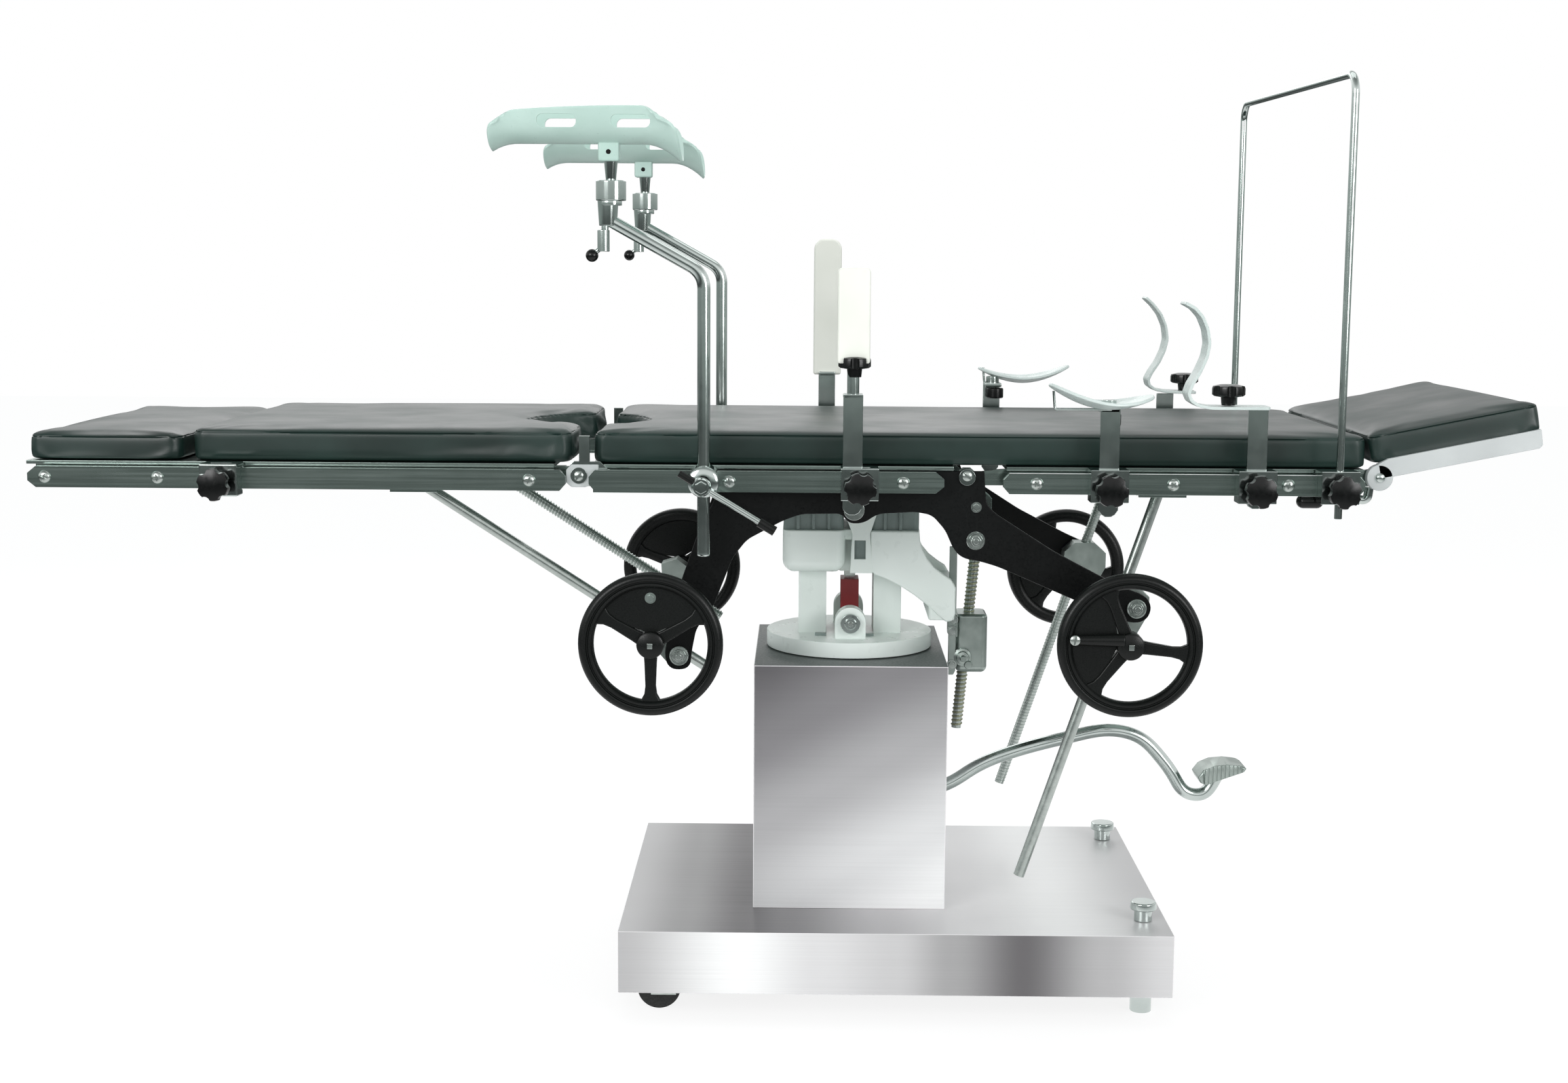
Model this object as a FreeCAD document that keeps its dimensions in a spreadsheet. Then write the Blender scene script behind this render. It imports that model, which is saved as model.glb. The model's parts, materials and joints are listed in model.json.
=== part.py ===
import FreeCAD, Part
import Sketcher
import math
import os
import re
import sys

# Manual hydraulic operating table with its usual accessories, in millimetres.
# +X runs along the table towards the head, -Y faces the viewer, +Z is up, and the
# origin lies on the floor under the middle of the whole outline.

SIZES = {
    # pads and decks
    "pad_half": 250, "pad_top": 811, "foot_pad_top": 803, "pad_corner": 22,
    "deck_top": 765, "deck_thick": 5, "deck_half": 252, "flange_out": 234, "flange_thick": 6,
    "flange_drop": 22, "skirt_drop": 40,
    "foot_end": -1011, "foot_split": -794, "split_gap": 3, "leg_pad_end": -272,
    "leg_notch_x": -254, "leg_notch_round": 105, "leg_deck_end": -300,
    "seat_start": -254, "seat_notch_x": -315.3, "seat_notch_round": 117.3,
    "seat_deck_start": -250, "seat_deck_end": 232, "back_deck_start": 302, "back_deck_end": 775,
    "back_pad_end": 779.7, "pad_seam": 6,
    # side rails
    "rail_inner": 262, "rail_thick": 10, "rail_mid": 745, "rail_tall": 28, "rail_lead": 8,
    "spacer_round": 8,
    "leg_rail_start": -997, "leg_rail_end": -283, "seat_rail_start": -252, "seat_rail_end": 218,
    "back_rail_start": 296, "back_rail_end": 772,
    # hinges of the table top
    "hinge_level": 750.5, "leg_hinge": -266, "back_hinge": 250, "ear_round": 12.5, "pin_round": 6,
    "head_hinge": 797, "head_level": 754, "head_rise": 11.5, "running": 0.05,
    "head_start": 792, "head_end": 1021, "head_low": 775, "head_top": 814,
    "head_bar_low": 755, "head_bar_out": 250, "head_bar_wide": 12, "head_disc": 17,
    # black side plates
    "plate_in": 236, "plate_thick": 8, "plate_round": 20,
    "leg_bolt_x": -134, "leg_bolt_z": 506, "back_bolt_x": 480, "back_bolt_z": 575, "bolt_round": 8,
    "trunnion_z": 705, "trunnion_round": 14,
    # column, yoke and saddle
    "column_x": 100, "column_half": 135, "column_deep": 165, "column_top": 477, "sheet": 2,
    "yoke_round": 120, "yoke_top": 501, "yoke_thick": 22, "post_near": 26, "post_far": 66,
    "post_half": 34, "post_top": 628, "pivot_z": 610, "pivot_round": 12,
    "ram_round": 40, "ram_low": 150, "cylinder_wall": 20, "cylinder_top": 465,
    "saddle_half": 75, "saddle_low": 594, "saddle_top": 655, "saddle_wall": 10,
    "housing_top": 690, "spindle_z": 524, "spindle_round": 8,
    # tilt screw
    "screw_top_x": 288, "screw_top_z": 680, "screw_nut_x": 272, "screw_nut_z": 500,
    "screw_round": 7, "screw_tail": 146, "gear_half": 25, "gear_low": 440, "gear_high": 528,
    "gear_wide": 30,
    # section drives
    "rod_side": 205, "rod_round": 7.5, "thread_round": 7, "eye_round": 10, "eye_half": 7,
    "lug_gap": 3, "lug_thick": 5, "eye_z": 738, "leg_eye_x": -494, "back_eye_x": 515,
    "back_offset": 18, "leg_tail": 45, "back_tail": 409, "back_tail_far": 380,
    "box_in": 190, "box_out": 228, "wheel_side": 345, "wheel_round": 94.5, "rim_round": 11,
    "leg_wheel_x": -165, "leg_wheel_z": 540, "back_wheel_x": 457, "back_wheel_z": 543,
    "shaft_round": 8, "hub_round": 18, "hub_half": 15, "spoke_half": 8, "web_half": 3,
    # base
    "base_start": -216, "base_end": 540, "base_half": 276, "base_low": 43, "base_top": 129.5,
    "frame_thick": 26, "frame_gap": 2,
    "caster_x": -150, "caster_y": 205, "caster_round": 30, "caster_half": 12, "caster_trail": 14,
    "foot_x": 508, "foot_y": 205, "foot_round": 15, "foot_tall": 40, "stem_round": 8,
    "knob_round": 19, "knob_tall": 17,
    "pedal_x": 205, "pedal_z": 258, "pedal_round": 10, "tread_x": 655, "tread_z": 290,
    # accessories
    "bar_near": 278, "bar_thick": 6, "bar_half": 13, "clamp_half": 25, "clamp_out": 296,
    "knob_lobe": 19, "knob_long": 30,
    "crutch_x": -99, "crutch_side": 287, "crutch_round": 8.5, "crutch_low": 647,
    "crutch_bend": 1000, "crutch_top_x": -221, "crutch_top_z": 1084, "cup_round": 20,
    "shell_pivot": 1172, "shell_start": -377, "shell_end": -128, "shell_round": 52,
    "shell_wall": 4, "handle_long": 112,
    "screen_near_x": 734, "screen_far_x": 709, "screen_side": 287, "screen_round": 5,
    "screen_low": 703, "screen_top": 1277, "screen_bend": 26,
}

doc = FreeCAD.newDocument("operating_table")
sheet = doc.addObject("Spreadsheet::Sheet", "Sizes")
for row, (alias, number) in enumerate(SIZES.items(), 1):
    sheet.set(f"A{row}", alias)
    sheet.set(f"B{row}", str(number))
    sheet.setAlias(f"B{row}", alias)
doc.recompute()
V = {alias: float(sheet.get(alias)) for alias in SIZES}
Vec = FreeCAD.Vector
WORDS = ("cos", "sin", "sqrt", "tan")
NODES = []
X_AXIS = (0, 1, 0, 90)
Y_AXIS = (-1, 0, 0, 90)
TURNS = {"X": X_AXIS, "Y": Y_AXIS, "Z": (0, 0, 1, 0)}
SIDES = {"near": "-1", "far": "1"}


def scoped(expression):
    """Point each word of an expression at its cell in the sheet."""
    return re.sub(r"[a-z][a-z_]*", lambda found: found.group(0) if found.group(0) in WORDS
                  else "Sizes." + found.group(0), expression)


def bind(item, **expressions):
    for name, expression in expressions.items():
        item.setExpression(name.replace("__", "."), scoped(expression))


def place(item, x, y, z):
    bind(item, Placement__Base__x=x, Placement__Base__y=y, Placement__Base__z=z)


def box(name, x, y, z):
    item = doc.addObject("Part::Box", name)
    bind(item, Length=f"({x[1]}) - ({x[0]})", Width=f"({y[1]}) - ({y[0]})", Height=f"({z[1]}) - ({z[0]})")
    place(item, x[0], y[0], z[0])
    return item


def bar(name, axis, radius, span, first, second):
    """Round bar along an axis: span is its start and end, first and second its other two coordinates."""
    item = doc.addObject("Part::Cylinder", name)
    bind(item, Radius=radius, Height=f"({span[1]}) - ({span[0]})")
    turn = TURNS[axis]
    item.Placement = FreeCAD.Placement(Vec(), FreeCAD.Rotation(Vec(*turn[:3]), turn[3]))
    start = {"X": (span[0], first, second), "Y": (first, span[0], second),
             "Z": (first, second, span[0])}[axis]
    place(item, *start)
    return item


def rod(name, radius, start, end):
    """Round rod between two points given as numbers from the sheet."""
    item = doc.addObject("Part::Feature", name)
    way = Vec(*end) - Vec(*start)
    item.Shape = Part.makeCylinder(radius, way.Length, Vec(*start), way)
    return item


def tube(name, radius, points, bend):
    """Round rod bent round arcs at its inner points."""
    item = doc.addObject("Part::Feature", name)
    spots = [Vec(*point) for point in points]
    edges = []
    last = spots[0]
    for before, corner, after in zip(spots, spots[1:], spots[2:]):
        back = (before - corner).normalize()
        forth = (after - corner).normalize()
        half = back.getAngle(forth) / 2
        reach = bend / math.tan(half)
        enter = corner + back * reach
        leave = corner + forth * reach
        centre = corner + (back + forth).normalize() * (bend / math.sin(half))
        middle = centre + (corner - centre).normalize() * bend
        edges.append(Part.LineSegment(last, enter).toShape())
        edges.append(Part.Arc(enter, middle, leave).toShape())
        last = leave
    edges.append(Part.LineSegment(last, spots[-1]).toShape())
    path = Part.Wire(edges)
    section = Part.Wire(Part.makeCircle(radius, spots[0], spots[1] - spots[0]))
    item.Shape = path.makePipeShell([section], True, False)
    return item


def plate(name, plane, points, span):
    """Flat plate: a straight-sided outline padded from span[0] to span[1]."""
    body = doc.addObject("PartDesign::Body", name)
    sketch = body.newObject("Sketcher::SketchObject", name + "_outline")
    roles = {feature.Role: feature for feature in body.Origin.OriginFeatures}
    sketch.AttachmentSupport = (roles[plane + "_Plane"], [""])
    sketch.MapMode = "FlatFace"
    count = len(points)
    turn = 2 * math.pi / count
    for i in range(count):
        ends = [Vec(100 * math.cos(turn * k), 100 * math.sin(turn * k), 0) for k in (i, i + 1)]
        sketch.addGeometry(Part.LineSegment(*ends), False)
    for i in range(count):
        sketch.addConstraint(Sketcher.Constraint("Coincident", i, 2, (i + 1) % count, 1))
    for i, (across, up) in enumerate(points):
        for kind, expression in (("DistanceX", across), ("DistanceY", up)):
            index = sketch.addConstraint(Sketcher.Constraint(kind, i, 1, 1.0))
            sketch.setExpression(f"Constraints[{index}]", scoped(expression))
    pad = body.newObject("PartDesign::Pad", name + "_pad")
    pad.Profile = sketch
    bind(pad, Length=f"({span[1]}) - ({span[0]})")
    if plane == "XZ":
        bind(body, Placement__Base__y=span[1])
    if plane == "XY":
        bind(body, Placement__Base__z=span[0])
    if plane == "YZ":
        bind(body, Placement__Base__x=span[0])
    return body


def rounded(name, base, axis, radius, keep=None):
    """Round the edges of a piece that run along an axis."""
    doc.recompute()
    item = doc.addObject("Part::Fillet", name)
    item.Base = base
    way = {"X": Vec(1, 0, 0), "Y": Vec(0, 1, 0), "Z": Vec(0, 0, 1)}[axis]
    picked = []
    for index, edge in enumerate(base.Shape.Edges, 1):
        straight = edge.Curve.TypeId == "Part::GeomLine"
        along = straight and abs(edge.tangentAt(edge.FirstParameter).dot(way)) > 0.99
        if along and (keep is None or keep(edge.CenterOfMass)):
            picked.append((index, radius, radius))
    item.Edges = picked
    return item


def cut(name, base, *tools):
    item = doc.addObject("Part::Cut", name)
    item.Base = base
    item.Tool = tools[0] if len(tools) == 1 else fuse(name + "_tools", *tools)
    return item


def fuse(name, *parts):
    item = doc.addObject("Part::MultiFuse", name)
    item.Shapes = list(parts)
    return item


def common(name, first, second):
    item = doc.addObject("Part::Common", name)
    item.Base = first
    item.Tool = second
    return item


def node(label, *parts):
    """One sub-part: a compound of the separate solids that make it."""
    item = doc.addObject("Part::Compound", label)
    item.Links = list(parts)
    item.Label = label
    NODES.append(item)
    return item


def span(side, inner, outer):
    """Low and high Y of something that lies between two distances from the middle plane."""
    return (f"-({outer})", f"-({inner})") if side == "near" else (inner, outer)


def along(side, value):
    return f"({SIDES[side]}) * ({value})"


def sign(side):
    return -1 if side == "near" else 1


def dot(point, angle, length):
    """Point at a length and an angle from another one, in the XZ plane."""
    return point[0] + length * math.cos(angle), point[1] + length * math.sin(angle)


RAIL_LOW = "rail_mid - rail_tall / 2"
RAIL_HIGH = "rail_mid + rail_tall / 2"
RAIL_OUT = "rail_inner + rail_thick"
DECK_LOW = "deck_top - deck_thick"
FLANGE_IN = "flange_out - flange_thick"
PLATE_OUT = "plate_in + plate_thick"
BASE_FLOOR = "base_top - sheet - frame_thick"


def make_base():
    outer = box("base_skin", ("base_start", "base_end"), ("-base_half", "base_half"),
                ("base_low", "base_top"))
    inner = box("base_space", ("base_start + sheet", "base_end - sheet"),
                ("-base_half + sheet", "base_half - sheet"),
                ("base_low - 1", "base_top - sheet"))
    holes = [bar(f"cover_hole_{side}", "Z", "stem_round + 1", ("base_low", "base_top + 1"), "foot_x",
                 along(side, "foot_y"))
             for side in SIDES]
    mouth = box("column_mouth", ("column_x - 90", "column_x + 115"), ("-80", "80"),
                ("base_low", "base_top + 1"))
    node("base_cover", cut("base_cover_cut", outer, inner, mouth, *holes))

    slab = box("frame_slab", ("base_start + sheet + frame_gap", "base_end - sheet - frame_gap"),
               ("-base_half + sheet + frame_gap", "base_half - sheet - frame_gap"), (BASE_FLOOR,
                                                                                     "base_top - sheet"))
    bores = [bar(f"foot_bore_{side}", "Z", "stem_round + 0.1", ("base_low", "base_top"), "foot_x",
                 along(side, "foot_y"))
             for side in SIDES]
    bores += [bar(f"caster_bore_{side}", "Z", "stem_round + running",
                  (BASE_FLOOR + " - 1", BASE_FLOOR + " + 20"),
                  "caster_x", along(side, "caster_y")) for side in SIDES]
    node("base_frame", cut("base_frame_cut", slab, *bores))


def make_column():
    skin = box("column_skin", ("column_x - column_half", "column_x + column_half"),
               ("-column_deep", "column_deep"),
               ("base_top", "column_top"))
    space = box("column_space", ("column_x - column_half + sheet", "column_x + column_half - sheet"),
                ("-column_deep + sheet", "column_deep - sheet"), ("base_top - 1", "column_top - sheet"))
    mouth = bar("ram_mouth", "Z", "ram_round + 8", ("column_top - 5", "column_top + 5"), "column_x", "0")
    slot = box("pedal_slot", ("column_x + column_half - 10", "column_x + column_half + 10"),
               ("-pedal_round - 6", "pedal_round + 6"), ("pedal_z - 24", "pedal_z + 26"))
    node("column_cover", cut("column_cover_cut", skin, space, mouth, slot))

    barrel = bar("barrel", "Z", "ram_round + cylinder_wall", ("base_top - sheet", "cylinder_top"),
                 "column_x", "0")
    bore = bar("barrel_bore", "Z", "ram_round + running", ("base_top + 12", "cylinder_top + 1"), "column_x",
               "0")
    pump = box("pump_block", ("column_x + ram_round + cylinder_wall", "pedal_x - 18"), ("-38", "38"),
               ("base_top - sheet", "pedal_z + 44"))
    cheeks = [box(f"pump_cheek_{side}", ("pedal_x - 18", "pedal_x + 10"),
                  span(side, "pedal_round + 1", "pedal_round + 9"),
                  ("pedal_z - 14", "pedal_z + 14")) for side in SIDES]
    pin_bore = bar("pedal_bore", "Y", "5 + running", ("-30", "30"), "pedal_x", "pedal_z")
    pump_body = cut("pump_body", fuse("pump_solid", pump, *cheeks), pin_bore)
    node("hydraulic_unit", cut("barrel_cut", barrel, bore), pump_body)


def make_casters():
    for side in SIDES:
        y = along(side, "caster_y")
        stem = bar(f"caster_stem_{side}", "Z", "stem_round", (BASE_FLOOR + " - 1", BASE_FLOOR + " + 18"),
                   "caster_x", y)
        crown = bar(f"caster_crown_{side}", "Z", "24", (BASE_FLOOR + " - 9", BASE_FLOOR + " - 0.3"),
                    "caster_x", y)
        legs = [box(f"caster_leg_{side}_{n}", ("caster_x - caster_trail - 11", "caster_x + 10"),
                    (f"{y} + ({low})", f"{y} + ({low}) + 3.5"), ("caster_round - 9", BASE_FLOOR + " - 8"))
                for n, low in enumerate(("caster_half + 1.5", "-caster_half - 5"))]
        axle = bar(f"caster_axle_{side}", "Y", "5", (f"{y} - caster_half - 5", f"{y} + caster_half + 5"),
                   "caster_x - caster_trail", "caster_round")
        node(f"caster_fork_{side}", fuse(f"caster_fork_solid_{side}", stem, crown, axle, *legs))
        tread = bar(f"caster_tread_{side}", "Y", "caster_round", (f"{y} - caster_half", f"{y} + caster_half"),
                    "caster_x - caster_trail", "caster_round")
        hole = bar(f"caster_hole_{side}", "Y", "5 + running", (f"{y} - 20", f"{y} + 20"),
                   "caster_x - caster_trail", "caster_round")
        node(f"caster_wheel_{side}", cut(f"caster_wheel_cut_{side}", tread, hole))


def make_feet():
    for side in SIDES:
        y = along(side, "foot_y")
        pad = bar(f"foot_pad_disc_{side}", "Z", "foot_round", ("0", "foot_tall"), "foot_x", y)
        stem = bar(f"foot_stem_{side}", "Z", "stem_round", ("foot_tall - 1", "base_top + 5"), "foot_x", y)
        neck = bar(f"foot_neck_{side}", "Z", "stem_round + 4", ("base_top + 0.3", "base_top + 5"), "foot_x",
                   y)
        knob = bar(f"foot_knob_{side}", "Z", "knob_round", ("base_top + 5", "base_top + 5 + knob_tall"),
                   "foot_x", y)
        node(f"levelling_foot_{side}", fuse(f"levelling_foot_solid_{side}", pad, stem, neck, knob))


def make_pedal():
    route = [(V["pedal_x"], 0, V["pedal_z"]), (245, 0, 266), (345, 0, 318), (470, 0, 349), (535, 0, 325),
             (588, 0, 253), (628, 0, 259), (V["tread_x"], 0, V["tread_z"] - 6)]
    lever = tube("pedal_tube", V["pedal_round"], route, 18)
    eye = bar("pedal_eye", "Y", "pedal_round + 2", ("-pedal_round - 0.5", "pedal_round + 0.5"), "pedal_x",
              "pedal_z")
    pin = bar("pedal_pin", "Y", "5", ("-pedal_round - 9", "pedal_round + 9"), "pedal_x", "pedal_z")
    seat = FreeCAD.Placement(Vec(V["tread_x"], 0, V["tread_z"] - 1), FreeCAD.Rotation(Vec(0, -1, 0), 24))
    room = box("tread_room", ("-60", "60"), ("-30", "30"), ("0", "30"))
    room.Placement = seat
    for axis, value in zip("xyz", seat.multVec(Vec(-60, -30, 0))):
        bind(room, **{f"Placement__Base__{axis}": str(value)})
    node("pedal_lever", cut("pedal_cut", fuse("pedal_solid", lever, eye, pin), room))
    ends = [bar(f"tread_end_{n}", "Z", "26", ("0", "9"), x, "0") for n, x in enumerate(("-14", "14"))]
    tread = node("pedal_tread",
                 fuse("tread_solid", box("tread_bar", ("-14", "14"), ("-26", "26"), ("0", "9")), *ends))
    tread.Placement = seat


def make_lift():
    node("piston_ram",
         bar("ram_bar", "Z", "ram_round", ("ram_low", "yoke_top - yoke_thick"), "column_x", "0"))
    disc = bar("yoke_disc", "Z", "yoke_round", ("yoke_top - yoke_thick", "yoke_top"), "column_x", "0")
    posts = []
    for n, (low, high) in enumerate((("post_near", "post_far"),
                                     ("2 * column_x - post_far", "2 * column_x - post_near"))):
        posts.append(box(f"yoke_post_{n}", (low, high), ("-post_half", "post_half"),
                         ("yoke_top - 1", "post_top")))
    bearings = []
    for n, (low, high) in enumerate((("-85", "-60"), ("60", "80"))):
        block = box(f"spindle_block_{n}", ("column_x - 22", "column_x + 22"), (low, high),
                    ("yoke_top - 1", "spindle_z"))
        crown = bar(f"spindle_crown_{n}", "Y", "22", (low, high), "column_x", "spindle_z")
        bearings += [block, crown]
    solid = fuse("yoke_solid", disc, *posts, *bearings)
    pin_hole = bar("lateral_pin_hole", "X", "pivot_round", ("0", "2 * column_x"), "0", "pivot_z")
    spindle_hole = bar("spindle_hole", "Y", "spindle_round + running", ("-90", "90"), "column_x", "spindle_z")
    pin = bar("lateral_pin", "X", "pivot_round", ("4", "2 * column_x - 4"), "0", "pivot_z")
    node("pedestal_yoke", cut("yoke_cut", solid, pin_hole, spindle_hole), pin)


def make_saddle():
    left = ("3", "92")
    right = ("126", "198")
    shells = [box(f"bucket_{n}", x, ("-saddle_half", "saddle_half"), ("saddle_low", "saddle_top"))
              for n, x in enumerate((left, right))]
    hollows = [box("hollow_0", ("3 + saddle_wall", "92 - 2 * saddle_wall"),
                   ("-saddle_half + saddle_wall", "saddle_half - saddle_wall"),
                   ("saddle_low - 1", "saddle_top - saddle_wall")),
               box("hollow_1", ("126 + 4", "198 - saddle_wall - 4"),
                   ("-saddle_half + saddle_wall", "saddle_half - saddle_wall"),
                   ("saddle_low - 1", "saddle_top - saddle_wall"))]
    bridge = box("bridge", ("80", "130"), ("-saddle_half", "saddle_half"),
                 ("saddle_top - saddle_wall", "saddle_top"))
    lug = fuse("lateral_lug",
               box("lug_root", ("column_x - 16", "column_x + 16"), ("-28", "28"), ("590", "saddle_top")),
               box("lug_tongue", ("column_x - 16", "column_x + 16"), ("-8", "8"), ("579", "591")))
    arm_outline = [("135", "saddle_low"), ("190", "saddle_top - 5"), ("198", "640"), ("211", "613"),
                   ("226", "595"),
                   ("245", "580"), ("245", "520"), ("238", "518"), ("197", "549"), ("167", "572")]
    cheeks = [plate(f"arm_cheek_{side}", "XZ", arm_outline, span(side, "saddle_half - 13", "saddle_half"))
              for side in SIDES]
    web = box("arm_web", ("216", "245"), ("-saddle_half + 1", "saddle_half - 1"), ("522", "580"))
    lugs = [box(f"trunnion_lug_{side}", ("column_x - 26", "column_x + 26"), span(side, "45", "saddle_half"),
                ("saddle_top - 1", "trunnion_z + 20")) for side in SIDES]
    solid = fuse("saddle_solid", *shells, bridge, *cheeks, web, *lugs)
    hollowed = fuse("saddle_hollowed", cut("saddle_shells", solid, *hollows), lug)
    pivot = bar("saddle_pivot_bore", "X", "pivot_round + running", ("0", "2 * column_x"), "0", "pivot_z")
    bearing = bar("trunnion_bore", "Y", "trunnion_round + running", ("-90", "90"), "column_x", "trunnion_z")
    node("saddle_casting", cut("saddle_cut", hollowed, pivot, bearing))
    node("saddle_housings",
         box("housing_left", ("3", "72"), ("-saddle_half + 8", "saddle_half - 8"),
             ("saddle_top", "housing_top")),
         box("housing_right", ("128", "198"), ("-saddle_half + 8", "saddle_half - 8"),
             ("saddle_top", "housing_top")))

    front = bar("spindle_front", "Y", "spindle_round", ("-96", "84"), "column_x", "spindle_z")
    collar = bar("spindle_collar", "Y", "14", ("-94", "-85.3"), "column_x", "spindle_z")
    node("lateral_spindle", fuse("spindle_solid", front, collar))
    block = box("nut_block", ("column_x - 13", "column_x + 13"), ("-22", "22"), ("spindle_z - 16", "577"))
    hole = bar("nut_bore", "Y", "spindle_round + running", ("-30", "30"), "column_x", "spindle_z")
    node("lateral_nut", cut("nut_cut", block, hole))


def tilt_points():
    nut = (V["screw_nut_x"], V["screw_nut_z"])
    top = (V["screw_top_x"], V["screw_top_z"])
    angle = math.atan2(top[1] - nut[1], top[0] - nut[0])
    return nut, top, angle


def make_tilt_drive():
    nut, top, angle = tilt_points()
    tail = dot(nut, angle, -V["screw_tail"])
    screw = rod("tilt_rod", V["screw_round"], (tail[0], 0, tail[1]), (top[0], 0, top[1]))
    eye = bar("tilt_eye", "Y", "eye_round", ("-9", "9"), "screw_top_x", "screw_top_z")
    node("tilt_screw", fuse("tilt_screw_solid", screw, eye))
    block = box("gear_block", ("screw_nut_x - gear_half + 5", "screw_nut_x + gear_half + 5"),
                ("-gear_wide", "gear_wide"),
                ("gear_low", "gear_high"))
    ear = box("gear_ear", ("245", "screw_nut_x - gear_half + 6"), ("-gear_wide", "gear_wide"),
              ("494", "gear_high"))
    boss = bar("gear_boss", "Y", "13", ("-gear_wide - 16", "-gear_wide + 1"), "screw_nut_x - 8", "466")
    low = dot(nut, angle, -V["screw_tail"] - 60)
    high = dot(nut, angle, 80)
    bore = rod("gear_bore", V["screw_round"] + V["running"], (low[0], 0, low[1]), (high[0], 0, high[1]))
    node("tilt_gear_housing", cut("gear_cut", fuse("gear_solid", block, ear, boss), bore))


def make_side_plates():
    shape = [("-83", "758"), ("-83", "726"), ("-110", "669"), ("-131", "609"), ("-148", "540"),
             ("leg_bolt_x - plate_round", "leg_bolt_z"), ("leg_bolt_x - 12", "leg_bolt_z - plate_round + 2"),
             ("leg_bolt_x + 9", "leg_bolt_z - plate_round + 2"), ("leg_bolt_x + plate_round - 5",
                                                                  "leg_bolt_z"),
             ("-111", "542"), ("-88", "573"), ("-62", "640"), ("-43", "664"), ("5", "690"), ("30", "699"),
             ("84", "700"), ("column_x - 8", "trunnion_z - 19"), ("column_x + 12",
                                                                  "trunnion_z - 19"), ("132", "700"),
             ("182", "703"), ("204", "699"), ("222", "679"), ("234", "652"), ("246", "641"), ("269", "637"),
             ("293", "630"), ("398", "585"), ("back_bolt_x - 8", "back_bolt_z - plate_round"),
             ("back_bolt_x + 12", "back_bolt_z - plate_round + 3"), ("back_bolt_x + plate_round",
                                                                     "back_bolt_z"),
             ("back_bolt_x + 12", "back_bolt_z + plate_round - 3"), ("back_bolt_x - 12",
                                                                     "back_bolt_z + plate_round + 4"),
             ("441", "613"), ("368", "651"), ("291", "700"), ("276", "714"), ("273", "758")]
    sides = []
    for side in SIDES:
        sheet_metal = plate(f"side_sheet_{side}", "XZ", shape, span(side, "plate_in", PLATE_OUT))
        y = span(side, "plate_in - 5", PLATE_OUT + " + 5")
        holes = [bar(f"leg_bolt_hole_{side}", "Y", "bolt_round + running", y, "leg_bolt_x", "leg_bolt_z"),
                 bar(f"back_bolt_hole_{side}", "Y", "bolt_round + running", y, "back_bolt_x", "back_bolt_z"),
                 bar(f"trunnion_hole_{side}", "Y", "trunnion_round", y, "column_x", "trunnion_z"),
                 bar(f"back_pin_hole_{side}", "Y", "pin_round", y, "back_hinge", "hinge_level")]
        sides.append(cut(f"side_plate_{side}", sheet_metal, *holes))
    node("side_plates", *sides)
    node("trunnion_shaft",
         bar("trunnion_bar", "Y", "trunnion_round", ("-plate_in - plate_thick - 2", PLATE_OUT + " + 2"),
                               "column_x", "trunnion_z"))


def notch(name, x, radius, low, high):
    return bar(name, "Z", radius, (low, high), x, "0")


def pad(label, start, end, low, high, corners, *tools):
    block = box(label + "_block", (start, end), ("-pad_half", "pad_half"), (low, high))
    soft = rounded(label + "_soft", block, "Z", V["pad_corner"], corners)
    node(label, cut(label + "_cut", soft, *tools) if tools else soft)


def make_seat():
    sheet_metal = box("seat_sheet", ("seat_deck_start", "seat_deck_end"), ("-deck_half", "deck_half"),
                      (DECK_LOW, "deck_top"))
    mouth = notch("seat_sheet_notch", "seat_notch_x", "seat_notch_round + 4", DECK_LOW + " - 1",
                  "deck_top + 1")
    flat = cut("seat_sheet_cut", sheet_metal, mouth)
    skirts = [box(f"seat_skirt_{side}", ("seat_deck_start", "seat_deck_end"),
                  span(side, "plate_in - 4", "plate_in"),
                  ("deck_top - skirt_drop", DECK_LOW + " + 1")) for side in SIDES]
    beam = box("seat_beam", ("150", "seat_deck_end"), ("-plate_in + 4", "plate_in - 4"),
               (DECK_LOW + " - 12", DECK_LOW + " + 1"))
    bracket = [plate(f"screw_ear_{side}", "XZ",
                     [("190", DECK_LOW), ("232", DECK_LOW), ("304", "696"), ("304", "666"),
                                                ("276", "666"), ("190", "736")], span(side, "12", "18"))
               for side in SIDES]
    node("seat_deck", fuse("seat_deck_solid", flat, *skirts, beam, *bracket))
    hollow = notch("seat_pad_notch", "seat_notch_x", "seat_notch_round", "deck_top - 1", "pad_top + 1")
    pad("seat_pad", "seat_start", "back_hinge - pad_seam / 2", "deck_top", "pad_top", lambda c: c.x < 0,
        hollow)


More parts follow.
